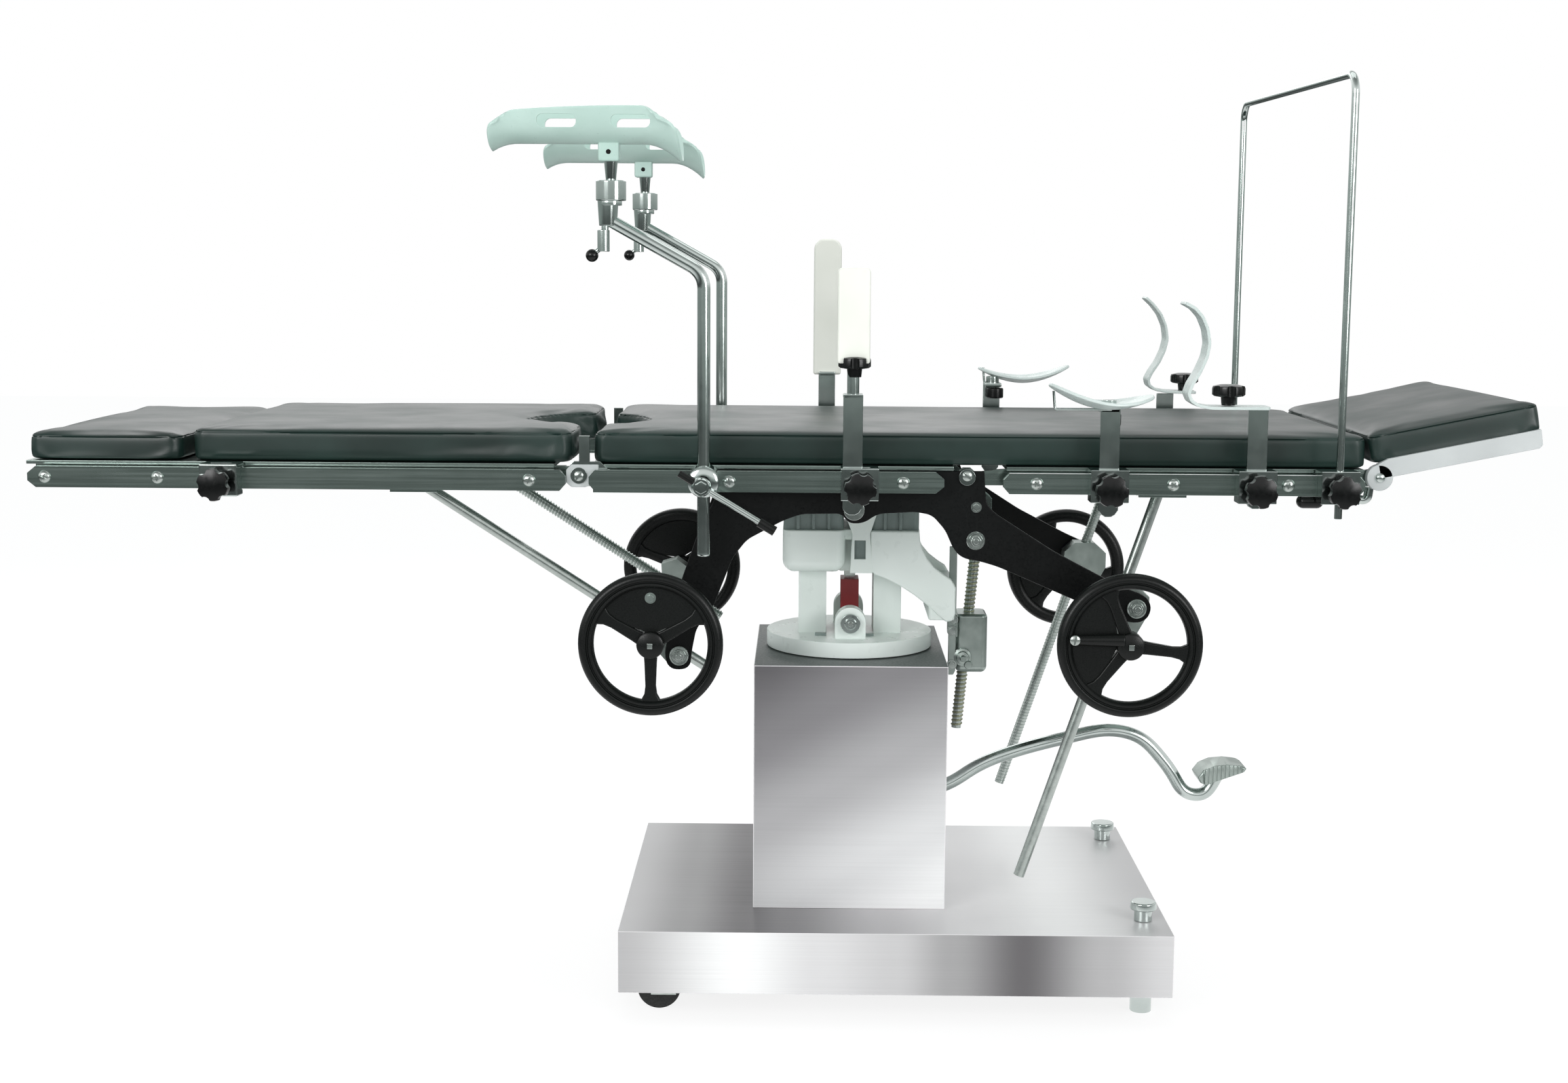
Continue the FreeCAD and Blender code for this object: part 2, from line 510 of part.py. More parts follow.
def make_hinge_brackets():
    parts = []
    low = [("-279", "741"), ("-279", DECK_LOW + " - 1"), ("-226", DECK_LOW + " - 1"), ("-226", "736"),
           ("-274", "736")]
    high = [("-279", "741"), ("-279", "763"), ("-273", "769"), ("-238", "769"), ("-226", "757"),
            ("-226", "736"), ("-274", "736")]
    for side in SIDES:
        body = fuse(f"hinge_body_{side}",
                    plate(f"hinge_low_{side}", "XZ", low, span(side, "plate_in", "rail_inner - 5")),
                    plate(f"hinge_high_{side}", "XZ", high, span(side, "deck_half + 0.7", "rail_inner - 4")))
        lug = box(f"hinge_lug_{side}", ("-266", "-252"), span(side, "deck_half + 1", "rail_inner - 4"),
                  ("765", "803"))
        hole = bar(f"hinge_hole_{side}", "Y", "pin_round", span(side, "plate_in - 2", "rail_inner"),
                   "leg_hinge", "hinge_level")
        parts.append(cut(f"hinge_cut_{side}", fuse(f"hinge_solid_{side}", body, lug), hole))
        shank = bar(f"leg_pin_{side}", "Y", "pin_round", span(side, FLANGE_IN + " - 2", "rail_inner - 4"),
                    "leg_hinge", "hinge_level")
        head = bar(f"leg_pin_head_{side}", "Y", "pin_round + 5",
                   span(side, "rail_inner - 4", "rail_inner + 1"), "leg_hinge", "hinge_level")
        parts.append(fuse(f"leg_pivot_{side}", shank, head))
        shank = bar(f"back_pin_{side}", "Y", "pin_round", span(side, FLANGE_IN + " - 2", PLATE_OUT),
                    "back_hinge", "hinge_level")
        head = bar(f"back_pin_head_{side}", "Y", "pin_round + 5", span(side, PLATE_OUT, PLATE_OUT + " + 5"),
                   "back_hinge", "hinge_level")
        parts.append(fuse(f"back_pivot_{side}", shank, head))
    node("hinge_pivots", *parts)


def lug_pair(name, x):
    """Two ears under a deck that take the eye of a drive rod between them, on both sides of the table."""
    ears = []
    for side in SIDES:
        for n, (low,
                high) in enumerate((("rod_side - eye_half - lug_gap - lug_thick",
                                     "rod_side - eye_half - lug_gap"),
                                         ("rod_side + eye_half + lug_gap",
                                          "rod_side + eye_half + lug_gap + lug_thick"))):
            ears.append(box(f"{name}_{side}_{n}", (f"{x} - 32", f"{x} + 32"), span(side, low, high),
                            ("eye_z - 16", DECK_LOW + " + 1")))
    return ears


def make_leg_section():
    sheet_metal = box("leg_sheet", ("foot_end + 6", "leg_deck_end"), ("-deck_half", "deck_half"),
                      (DECK_LOW, "deck_top"))
    mouth = notch("leg_sheet_notch", "leg_notch_x", "leg_notch_round + 5", DECK_LOW + " - 1", "deck_top + 1")
    flat = cut("leg_sheet_cut", sheet_metal, mouth)
    flanges = []
    for side in SIDES:
        y = span(side, FLANGE_IN, "flange_out")
        flanges.append(box(f"leg_flange_{side}", ("foot_end + 12", "leg_hinge - 20"), y,
                           (f"{DECK_LOW} - flange_drop", DECK_LOW + " + 1")))
        flanges.append(box(f"leg_neck_{side}", ("leg_hinge - 22", "leg_hinge"), y,
                           ("hinge_level - ear_round", "hinge_level + ear_round - 3")))
        flanges.append(bar(f"leg_ear_{side}", "Y", "ear_round", y, "leg_hinge", "hinge_level"))
    solid = fuse("leg_deck_solid", flat, *flanges, *lug_pair("leg_lug", "leg_eye_x"))
    holes = [bar(f"leg_ear_hole_{side}", "Y", "pin_round + running", span(side, "200", "240"), "leg_hinge",
                 "hinge_level")
             for side in SIDES]
    node("leg_deck", cut("leg_deck_cut", solid, *holes))
    hollow = notch("leg_pad_notch", "leg_notch_x", "leg_notch_round", "deck_top - 1", "pad_top + 1")
    pad("leg_pad", "foot_split + split_gap", "leg_pad_end", "deck_top", "pad_top", lambda c: c.x < -700,
        hollow)
    pad("foot_pad", "foot_end", "foot_split", "deck_top", "foot_pad_top", lambda c: c.x < -900)


def make_back_section():
    sheet_metal = box("back_sheet", ("back_deck_start", "back_deck_end"), ("-deck_half", "deck_half"),
                      (DECK_LOW, "deck_top"))
    low = f"{DECK_LOW} - flange_drop"
    leaf = [("back_hinge - 12", "hinge_level - 12"), ("back_hinge - 12", "hinge_level + 6"),
            ("back_hinge - 5", "hinge_level + 11.4"),
            ("back_hinge + 5", "hinge_level + 11.4"), ("back_hinge + 12",
                                                       "hinge_level + 5.5"), ("back_hinge + 42", DECK_LOW),
            ("back_deck_start + 4", DECK_LOW + " + 1"), ("back_deck_end - 2",
                                                         DECK_LOW + " + 1"), ("head_hinge",
                                                                              "head_level + ear_round - 1"),
            ("head_hinge + 9", "head_level + 8"), ("head_hinge + ear_round",
                                                   "head_level"), ("head_hinge + 9", "head_level - 8"),
            ("head_hinge", "head_level - ear_round"), ("back_deck_end - 40", low)]
    leaves = []
    for side in SIDES:
        leaves.append(plate(f"back_leaf_{side}", "XZ", leaf, span(side, FLANGE_IN, "flange_out")))
    solid = fuse("back_deck_solid", sheet_metal, *leaves, *lug_pair("back_lug", "back_eye_x"))
    holes = []
    for side in SIDES:
        y = span(side, "200", "240")
        holes.append(bar(f"back_leaf_hole_{side}", "Y", "pin_round + running", y, "back_hinge",
                         "hinge_level"))
        holes.append(bar(f"head_leaf_hole_{side}", "Y", "pin_round + running", y, "head_hinge", "head_level"))
    node("back_deck", cut("back_deck_cut", solid, *holes))
    pad("back_pad", "back_hinge + pad_seam / 2", "back_pad_end", "deck_top", "pad_top", lambda c: c.x > 700)


def make_head_section():
    parts = []
    for side in SIDES:
        y = span(side, "head_bar_out - head_bar_wide", "head_bar_out")
        parts.append(box(f"head_bar_{side}", ("head_hinge", "head_end - 3"), y, ("head_bar_low", "head_low")))
        parts.append(bar(f"head_disc_{side}", "Y", "head_disc", y, "head_hinge", "head_level"))
        parts.append(bar(f"head_pin_{side}", "Y", "pin_round",
                         span(side, FLANGE_IN + " - 2", "head_bar_out"), "head_hinge", "head_level"))
    web = box("head_sheet", ("head_hinge + 16", "head_end - 8"), ("-head_bar_out + 1", "head_bar_out - 1"),
              ("head_low - 4", "head_low"))
    frame = node("head_frame", fuse("head_frame_solid", web, *parts))
    pad("head_pad", "head_start", "head_end", "head_low", "head_top", lambda c: c.x > 900)
    pivot = Vec(V["head_hinge"], 0, V["head_level"])
    for item in (frame, NODES[-1]):
        item.Placement = FreeCAD.Placement(Vec(), FreeCAD.Rotation(Vec(0, -1, 0), V["head_rise"]), pivot)


def rail_set(label, start, end, screws, left_round, right_round):
    parts = []
    for side in SIDES:
        slope = "rail_lead"
        left = (start, f"{start} + {slope}") if not left_round else (start, f"{start} + rail_tall / 2 - 3")
        right = (end, f"{end} - {slope}") if not right_round else (end, f"{end} - rail_tall / 2 + 3")
        outline = [(left[0], "rail_mid + 5"), (left[1], RAIL_HIGH), (right[1], RAIL_HIGH),
                   (right[0], "rail_mid + 5"),
                   (right[0], "rail_mid - 5"), (right[1], RAIL_LOW), (left[1], RAIL_LOW), (left[0],
                                                                                           "rail_mid - 5")]
        strip = plate(f"{label}_strip_{side}", "XZ", outline, span(side, "rail_inner", RAIL_OUT))
        inner = PLATE_OUT if label == "seat_rails" else "flange_out"
        spacers = []
        for n, x in enumerate(screws[side]):
            reach = "plate_in" if label == "seat_rails" and float(x) < -90 else inner
            spacers.append(bar(f"{label}_spacer_{side}_{n}", "Y", "spacer_round",
                               span(side, reach, "rail_inner + 1"), x, "rail_mid"))
        parts.append(fuse(f"{label}_solid_{side}", strip, *spacers))
    node(label, *parts)


def make_rails():
    leg = {side: ("-974", "-824", "-331") for side in SIDES}
    seat = {side: ("-210", "-66", "164") for side in SIDES}
    back = {"near": ("340", "520", "671"), "far": ("375", "520", "757")}
    rail_set("leg_rails", "leg_rail_start", "leg_rail_end", leg, True, False)
    rail_set("seat_rails", "seat_rail_start", "seat_rail_end", seat, False, True)
    rail_set("back_rails", "back_rail_start", "back_rail_end", back, False, False)


def handwheel(name, side, x, z, spoke_angles, web_angle):
    """Cast handwheel: rim, hub, three spokes and one third of the disc filled in."""
    y = along(side, "wheel_side")
    rim = doc.addObject("Part::Torus", f"{name}_rim")
    bind(rim, Radius1="wheel_round - rim_round", Radius2="rim_round")
    rim.Placement = FreeCAD.Placement(Vec(), FreeCAD.Rotation(Vec(1, 0, 0), 90))
    place(rim, x, y, z)
    hub = bar(f"{name}_hub", "Y", "hub_round", (f"{y} - hub_half", f"{y} + hub_half"), x, z)
    centre = Vec(V[x], sign(side) * V["wheel_side"], V[z])
    spokes = []
    for n, angle in enumerate(spoke_angles):
        spoke = box(f"{name}_spoke_{n}", ("0", "wheel_round - rim_round"),
                    ("-spoke_half + 1", "spoke_half - 1"), ("-spoke_half", "spoke_half"))
        place_turned(spoke, centre, angle)
        spokes.append(spoke)
    sector = doc.addObject("Part::Cylinder", f"{name}_web")
    bind(sector, Radius="wheel_round - rim_round", Height="2 * web_half", Angle="120")
    sector.Placement = FreeCAD.Placement(centre + Vec(0, V["web_half"], 0),
                                         FreeCAD.Rotation(Vec(0, -1, 0),
                                                          web_angle) * FreeCAD.Rotation(Vec(1, 0, 0), 90))
    return fuse(f"{name}_solid", rim, hub, sector, *spokes)


def place_turned(item, centre, angle):
    """Stand a spoke box on the wheel's centre, turned to its angle."""
    for axis in "xyz":
        item.setExpression(f"Placement.Base.{axis}", None)
    turn = FreeCAD.Rotation(Vec(0, -1, 0), angle)
    offset = turn.multVec(Vec(0, -V["spoke_half"] + 1, -V["spoke_half"]))
    item.Placement = FreeCAD.Placement(centre + offset, turn)


def make_drive(name, bolt, wheel, eye, offset, tails, outline, near_angles, far_angles):
    bolt_xz = (V[bolt[0]], V[bolt[1]])
    eye_xz = (V[eye], V["eye_z"])
    reach = math.hypot(eye_xz[0] - bolt_xz[0], eye_xz[1] - bolt_xz[1])
    angle = math.atan2(eye_xz[1] - bolt_xz[1], eye_xz[0] - bolt_xz[0]) - math.asin(offset / reach)
    foot = dot(bolt_xz, angle + math.pi / 2, offset)
    boxes, rods, wheels = [], [], []
    for side in SIDES:
        y = sign(side) * V["rod_side"]
        radius = V["rod_round"] if side == "near" else V["thread_round"]
        tail = dot(foot, angle, -tails[side])
        shaft = rod(f"{name}_rod_{side}", radius, (tail[0], y, tail[1]), (eye_xz[0], y, eye_xz[1]))
        ring = bar(f"{name}_eye_{side}", "Y", "eye_round",
                   (f"{along(side, 'rod_side')} - eye_half", f"{along(side, 'rod_side')} + eye_half"),
                   eye, "eye_z")
        rods.append(fuse(f"{name}_screw_{side}", shaft, ring))
        block = plate(f"{name}_box_block_{side}", "XZ", outline, span(side, "box_in", "box_out"))
        pivot = bar(f"{name}_box_pin_{side}", "Y", "bolt_round",
                    span(side, "box_out - 8", PLATE_OUT + " + 4"), *bolt)
        cap = bar(f"{name}_box_cap_{side}", "Y", "bolt_round + 5",
                  span(side, PLATE_OUT + " + 0.5", PLATE_OUT + " + 6"), *bolt)
        low = dot(foot, angle, -90)
        high = dot(foot, angle, 120)
        bore = rod(f"{name}_bore_{side}", radius + V["running"], (low[0], y, low[1]), (high[0], y, high[1]))
        hollow = bar(f"{name}_shaft_hole_{side}", "Y", "shaft_round + running",
                     span(side, "box_out - 12", "box_out + 2"), *wheel)
        boxes.append(cut(f"{name}_box_{side}", fuse(f"{name}_box_solid_{side}", block, pivot, cap), bore,
                         hollow))
        angles = near_angles if side == "near" else far_angles
        disc = handwheel(f"{name}_wheel_{side}", side, wheel[0], wheel[1], angles[:3], angles[3])
        axle = bar(f"{name}_axle_{side}", "Y", "shaft_round", span(side, "box_out - 12", "wheel_side"),
                   *wheel)
        wheels.append(fuse(f"{name}_handwheel_{side}", disc, axle))
    node(f"{name}_gearboxes", *boxes)
    node(f"{name}_screws", *rods)
    node(f"{name}_handwheels", *wheels)


def make_drives():
    leg_box = [("-146", "487"), ("-126", "490"), ("-122", "524"), ("-140", "556"), ("-164", "574"),
               ("-188", "566"), ("-186", "532")]
    make_drive("leg", ("leg_bolt_x", "leg_bolt_z"), ("leg_wheel_x", "leg_wheel_z"), "leg_eye_x", 0.0,
               {"near": V["leg_tail"], "far": V["leg_tail"]}, leg_box, (30, 150, 270, 30), (40, 160, 280, 40))
    back_box = [("433", "540"), ("446", "520"), ("476", "522"), ("500", "566"), ("500", "588"),
                ("482", "604"), ("452", "604"), ("436", "590")]
    make_drive("back", ("back_bolt_x", "back_bolt_z"), ("back_wheel_x", "back_wheel_z"), "back_eye_x",
               V["back_offset"],
               {"near": V["back_tail"], "far": V["back_tail_far"]}, back_box, (-8, 112, 232, 112), (-8, 112,
                                                                                                    232, 112))


def clamp(name, side, x, slot):
    """Rail clamp: a block hooked round the rail, with a slot for the upright that it holds."""
    wide = (f"{x} - clamp_half", f"{x} + clamp_half")
    block = box(f"{name}_block", wide, span(side, "rail_inner - 5", "clamp_out"),
                (f"{RAIL_LOW} - 8", f"{RAIL_HIGH} + 7"))
    rail = box(f"{name}_rail", (f"{x} - clamp_half - 1", f"{x} + clamp_half + 1"),
               span(side, "rail_inner - 0.2", RAIL_OUT + " + 0.2"),
               (f"{RAIL_LOW} - 0.2", f"{RAIL_HIGH} + 0.2"))
    gap = box(f"{name}_gap", (f"{x} - clamp_half - 1", f"{x} + clamp_half + 1"),
              span(side, "rail_inner - 6", "rail_inner + 4"),
              (f"{RAIL_LOW} - 9", f"{RAIL_MID_LOW}"))
    return cut(name, block, rail, gap, slot)


RAIL_MID_LOW = "rail_mid - 6"


def flat_slot(name, side, x):
    return box(name, (f"{x} - bar_half - 0.3", f"{x} + bar_half + 0.3"),
               span(side, "bar_near - 0.3", "bar_near + bar_thick + 0.3"),
               ("600", "900"))


def round_slot(name, side, x, radius, distance):
    return bar(name, "Z", f"{radius} + 0.3", ("600", "900"), x, along(side, distance))


def star_knob(name, axis, x, y, z, way):
    """Six-lobed clamping knob on a short stud."""
    turn = math.pi / 3
    parts = []
    if axis == "Y":
        spread = (y, f"{y} + ({way}) * knob_long") if way == "1" else (f"{y} - knob_long", y)
        head = (f"{y} + 8", f"{y} + knob_long") if way == "1" else (f"{y} - knob_long", f"{y} - 8")
        parts.append(bar(f"{name}_stud", "Y", "5", spread, x, z))
        parts.append(bar(f"{name}_core", "Y", "knob_lobe - 5", head, x, z))
        for n in range(6):
            dx, dz = 0.72 * math.cos(n * turn), 0.72 * math.sin(n * turn)
            parts.append(bar(f"{name}_lobe_{n}", "Y", "knob_lobe * 0.28", head,
                             f"{x} + ({dx:.4f}) * knob_lobe", f"{z} + ({dz:.4f}) * knob_lobe"))
    else:
        parts.append(bar(f"{name}_stud", "Z", "5", (z, f"{z} + knob_long - 6"), x, y))
        head = (f"{z} + 6", f"{z} + knob_long - 6")
        parts.append(bar(f"{name}_core", "Z", "knob_lobe - 5", head, x, y))
        for n in range(6):
            dx, dy = 0.72 * math.cos(n * turn), 0.72 * math.sin(n * turn)
            parts.append(bar(f"{name}_lobe_{n}", "Z", "knob_lobe * 0.28", head,
                             f"{x} + ({dx:.4f}) * knob_lobe", f"{y} + ({dy:.4f}) * knob_lobe"))
    return fuse(name, *parts)


BRACES = {"near": ("106", "902", "1026"), "far": ("67", "857", "1067")}
DISHES = {"near": ("433", "419", 50.0), "far": ("326", "351", 0.0)}
RESTS = {"near": ("626", "587", "523", "984", "0"), "far": ("599", "628", "561", "981", "-16")}
SCREENS = {"near": "screen_near_x", "far": "screen_far_x"}
LEG_CLAMP = "-737"


def make_clamps():
    seat, seat_knobs = [], []
    for side in SIDES:
        slot = round_slot(f"crutch_slot_{side}", side, "crutch_x", "crutch_round", "crutch_side")
        seat.append(clamp(f"crutch_clamp_{side}", side, "crutch_x", slot))
        x = BRACES[side][0]
        seat.append(clamp(f"brace_clamp_{side}", side, x, flat_slot(f"brace_slot_{side}", side, x)))
        seat_knobs.append(star_knob(f"brace_knob_{side}", "Y", x, along(side, "clamp_out"), "rail_mid - 4",
                                    SIDES[side]))
    node("seat_clamps", *seat)
    node("seat_knobs", *seat_knobs)
    back, back_knobs = [], []
    for side in SIDES:
        for title, x in (("dish", DISHES[side][0]), ("rest", RESTS[side][0])):
            back.append(clamp(f"{title}_clamp_{side}", side, x, flat_slot(f"{title}_slot_{side}", side, x)))
            back_knobs.append(star_knob(f"{title}_knob_{side}", "Y", x, along(side, "clamp_out"),
                                        "rail_mid - 4", SIDES[side]))
        x = SCREENS[side]
        slot = round_slot(f"screen_slot_{side}", side, x, "screen_round", "screen_side")
        back.append(clamp(f"screen_clamp_{side}", side, x, slot))
        back_knobs.append(star_knob(f"screen_knob_{side}", "Y", x, along(side, "clamp_out"), "rail_mid - 4",
                                    SIDES[side]))
    route = [(788, -231, 739.4), (786, -231, 721), (752, -224, 727), (752, 224, 727), (786, 231, 721),
             (788, 231, 739.4)]
    back.append(tube("release_tube", 6, route, 7))
    knob = bar("lock_knob", "Y", "11", ("-rail_inner - 14", "-flange_out"), "692", "717")
    hanger = box("lock_hanger", ("686", "698"), ("-flange_out - 5", "-flange_out"), ("708", "757"))
    back_knobs.append(fuse("head_lock", knob, hanger))
    node("back_clamps", *back)
    node("back_knobs", *back_knobs)
    node("leg_clamp", clamp("leg_rail_clamp", "near", LEG_CLAMP, flat_slot("leg_slot", "near", LEG_CLAMP)))
    node("leg_knob",
         star_knob("leg_star_knob", "Y", LEG_CLAMP, along("near", "clamp_out"), "rail_mid - 4", "-1"))


def make_crutches():
    for side in SIDES:
        y = sign(side) * V["crutch_side"]
        x, top_x, top_z = V["crutch_x"], V["crutch_top_x"], V["crutch_top_z"]
        upright = tube(f"crutch_tube_{side}", V["crutch_round"],
                       [(x, y, V["crutch_low"]), (x, y, V["crutch_bend"] + 18), (top_x, y, top_z)], 34)
        where = along(side, "crutch_side")
        stack = [bar(f"crutch_collar_{side}", "Z", "10", ("crutch_top_z - 40", "crutch_top_z"),
                     "crutch_top_x - 3", where),
                 bar(f"crutch_body_{side}", "Z", "14", ("crutch_top_z - 4", "crutch_top_z + 26"),
                     "crutch_top_x", where),
                 bar(f"crutch_cup_{side}", "Z", "cup_round", ("crutch_top_z + 26", "crutch_top_z + 52"),
                     "crutch_top_x", where),
                 bar(f"crutch_stem_{side}", "Z", "7", ("crutch_top_z + 50", "shell_pivot - 20"),
                     "crutch_top_x", where),
                 bar(f"crutch_neck_{side}", "Z", "4.8", ("shell_pivot - 21", "shell_pivot"), "crutch_top_x",
                     where),
                 bar(f"crutch_stem_eye_{side}", "Y", "8", (f"{where} - 5", f"{where} + 5"), "crutch_top_x",
                     "shell_pivot"),
                 rod(f"crutch_ball_arm_{side}", 3.5, (top_x - 3, y, top_z - 28), (top_x - 20, y, top_z - 42))]
        ball = doc.addObject("Part::Sphere", f"crutch_ball_{side}")
        bind(ball, Radius="10")
        place(ball, "crutch_top_x - 22", where, "crutch_top_z - 44")
        solid = fuse(f"crutch_post_solid_{side}", upright, *stack, ball)
        hole = bar(f"crutch_eye_hole_{side}", "Y", "3 + running", (f"{where} - 20", f"{where} + 20"),
                   "crutch_top_x", "shell_pivot")
        node(f"crutch_post_{side}", cut(f"crutch_post_cut_{side}", solid, hole))

        level = "shell_pivot + 8.5 + shell_round"
        outer = bar(f"shell_outer_{side}", "X", "shell_round", ("shell_start", "shell_end"), where, level)
        inner = bar(f"shell_inner_{side}", "X", "shell_round - shell_wall",
                    ("shell_start - 1", "shell_end + 1"), where, level)
        above = box(f"shell_above_{side}", ("shell_start - 1", "shell_end + 1"),
                    (f"{where} - shell_round - 1", f"{where} + shell_round + 1"),
                    (level + " - 5", level + " + shell_round + 1"))
        trough = cut(f"shell_trough_{side}", outer, inner, above)
        cheeks = [box(f"shell_cheek_{side}_{n}", ("crutch_top_x - 13", "crutch_top_x + 13"),
                      (f"{where} + ({low})", f"{where} + ({low}) + 6"),
                      ("shell_pivot - 9", "shell_pivot + 12")) for n, low in enumerate(("5.4", "-11.4"))]
        crown = box(f"shell_crown_{side}", ("crutch_top_x - 13", "crutch_top_x + 13"),
                    (f"{where} - 11.4", f"{where} + 11.4"),
                    ("shell_pivot + 8.4", "shell_pivot + 12"))
        pin = bar(f"shell_pin_{side}", "Y", "3", (f"{where} - 13", f"{where} + 13"), "crutch_top_x",
                  "shell_pivot")
        node(f"crutch_shell_{side}", fuse(f"crutch_shell_solid_{side}", trough, crown, pin, *cheeks))

        way = sign(side)
        hub = bar(f"handle_hub_{side}", "Y", "13", span(side, "clamp_out + 0.3", "clamp_out + 22"),
                  "crutch_x", "rail_mid + 2")
        start = (V["crutch_x"], way * (V["clamp_out"] + 13), V["rail_mid"] + 2)
        tip = dot((start[0], start[2]), math.radians(-31), V["handle_long"])
        grip_start = dot((start[0], start[2]), math.radians(-31), V["handle_long"] - 26)
        back_tip = dot((start[0], start[2]), math.radians(149), 32)
        arm = rod(f"handle_arm_{side}", 4, (back_tip[0], start[1], back_tip[1]), (tip[0], start[1], tip[1]))
        grip = rod(f"handle_grip_{side}", 6.5, (grip_start[0], start[1], grip_start[1]),
                   (tip[0] + 3, start[1], tip[1] - 2))
        node(f"crutch_handle_{side}", fuse(f"crutch_handle_solid_{side}", hub, arm, grip))


def upright_bar(name, side, x, low, high):
    return box(name, (f"{x} - bar_half", f"{x} + bar_half"), span(side, "bar_near", "bar_near + bar_thick"),
               (low, high))


def make_accessories():
    for side in SIDES:
        x, low, high = BRACES[side]
        stand = upright_bar(f"brace_bar_{side}", side, x, "703", "862")
        shelf = box(f"brace_shelf_{side}", (f"{x} - bar_half", f"{x} + bar_half"),
                    span(side, "bar_near - 24", "bar_near + bar_thick"), ("856", "862"))
        stem = bar(f"brace_stem_{side}", "Z", "8", ("860", f"{low} + 12"), x, along(side, "bar_near - 8"))
        board = box(f"brace_board_{side}", (f"{x} - 22", f"{x} + 22"),
                    span(side, "bar_near - 20", "bar_near + 4"), (low, f"{high} - 22"))
        crown = bar(f"brace_crown_{side}", "Y", "22", span(side, "bar_near - 20", "bar_near + 4"), x,
                    f"{high} - 22")
        node(f"side_brace_{side}", fuse(f"side_brace_solid_{side}", stand, shelf, stem, board, crown))

        x, middle, turn = DISHES[side]
        stand = upright_bar(f"dish_bar_{side}", side, x, "703", "846")
        shelf = box(f"dish_shelf_{side}", (f"{x} - bar_half", f"{x} + bar_half"),
                    span(side, "bar_near - 30", "bar_near + bar_thick"), ("840", "846"))
        hub = bar(f"dish_hub_{side}", "Z", "10", ("845", "856"), x, along(side, "bar_near - 14"))
        bowls = []
        for n, shrink in enumerate((0, 4)):
            bowl = doc.addObject("Part::Ellipsoid", f"dish_bowl_{side}_{n}")
            bowl.Radius1, bowl.Radius2, bowl.Radius3 = 32 - shrink, 81 - shrink, 42 - shrink
            bowl.Placement = FreeCAD.Placement(Vec(float(middle), sign(side) * 283, 884),
                                               FreeCAD.Rotation(Vec(0, 0, 1), turn))
            bowls.append(bowl)
        lower = box(f"dish_lower_{side}", (f"{middle} - 100", f"{middle} + 100"), ("-400", "400"),
                    ("840", "878"))
        dish = common(f"dish_half_{side}", cut(f"dish_shell_{side}", bowls[0], bowls[1]), lower)
        node(f"arm_dish_{side}", fuse(f"arm_dish_solid_{side}", stand, shelf, hub, dish))

        x, knob_x, tip_x, tip_z, drop = RESTS[side]
        stand = upright_bar(f"rest_bar_{side}", side, x, "715", f"846 + ({drop})")
        arm = box(f"rest_arm_{side}", (f"{tip_x} + 14", "640"),
                  span(side, "bar_near - 12", "bar_near + bar_thick + 4"),
                  (f"845 + ({drop})", f"851 + ({drop})"))
        ring = bar(f"rest_ring_{side}", "Y", "80", span(side, "bar_near - 25", "bar_near + 19"),
                   f"{tip_x} - 42", f"{tip_z} - 61")
        hole = bar(f"rest_hole_{side}", "Y", "76", span(side, "bar_near - 30", "bar_near + 30"),
                   f"{tip_x} - 42", f"{tip_z} - 61")
        window = box(f"rest_window_{side}", (tip_x, f"{tip_x} + 80"),
                     span(side, "bar_near - 30", "bar_near + 30"), (f"845 + ({drop})", tip_z))
        strip = common(f"rest_strip_{side}", cut(f"rest_band_{side}", ring, hole), window)
        heel = box(f"rest_heel_{side}", (f"{tip_x} + 8", f"{tip_x} + 22"),
                   span(side, "bar_near - 12", "bar_near + bar_thick + 4"),
                   (f"845 + ({drop})", f"{tip_z} - 112"))
        knob = star_knob(f"rest_top_knob_{side}", "Z", knob_x, along(side, "bar_near"), f"851 + ({drop})",
                         "1")
        node(f"shoulder_rest_{side}", fuse(f"shoulder_rest_solid_{side}", stand, arm, strip, heel, knob))

    side = V["screen_side"]
    near_x, far_x, top = V["screen_near_x"], V["screen_far_x"], V["screen_top"]
    route = [(near_x, -side, V["screen_low"]), (near_x, -side, top), (far_x, side, top),
             (far_x, side, V["screen_low"])]
    node("screen_frame", tube("screen_tube", V["screen_round"], route, V["screen_bend"]))


def main():
    make_base()
    make_column()
    make_casters()
    make_feet()
    make_pedal()
    make_lift()
    make_saddle()
    make_tilt_drive()
    make_side_plates()
    make_seat()
    make_hinge_brackets()
    make_leg_section()
    make_back_section()
    make_head_section()
    make_rails()
    make_drives()
    make_clamps()
    make_crutches()
    make_accessories()
    doc.recompute()
    faults = [item.Name for item in doc.Objects if {"Invalid", "Error"} & set(item.State)]
    faults += [item.Label for item in NODES if item.Shape.isNull() or not item.Shape.isValid()]
    if faults:
        sys.exit("not built: " + ", ".join(faults))
    os.makedirs("parts", exist_ok=True)
    for item in NODES:
        item.Shape.exportStep(f"parts/{item.Label}.step")
        print(item.Label, len(item.Shape.Solids), "solids", round(item.Shape.Volume / 1000), "cm3")


main()
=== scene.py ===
# %% [markdown]
# # An operating table, dressed around its CAD frame
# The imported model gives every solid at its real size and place. This lesson adds what a
# camera sees on the real table: soft leatherette pads, bright steel, black castings, white
# enamel, screw threads and knobs. Each piece rides on the body that carries it, so the
# table still tilts, lifts and folds.

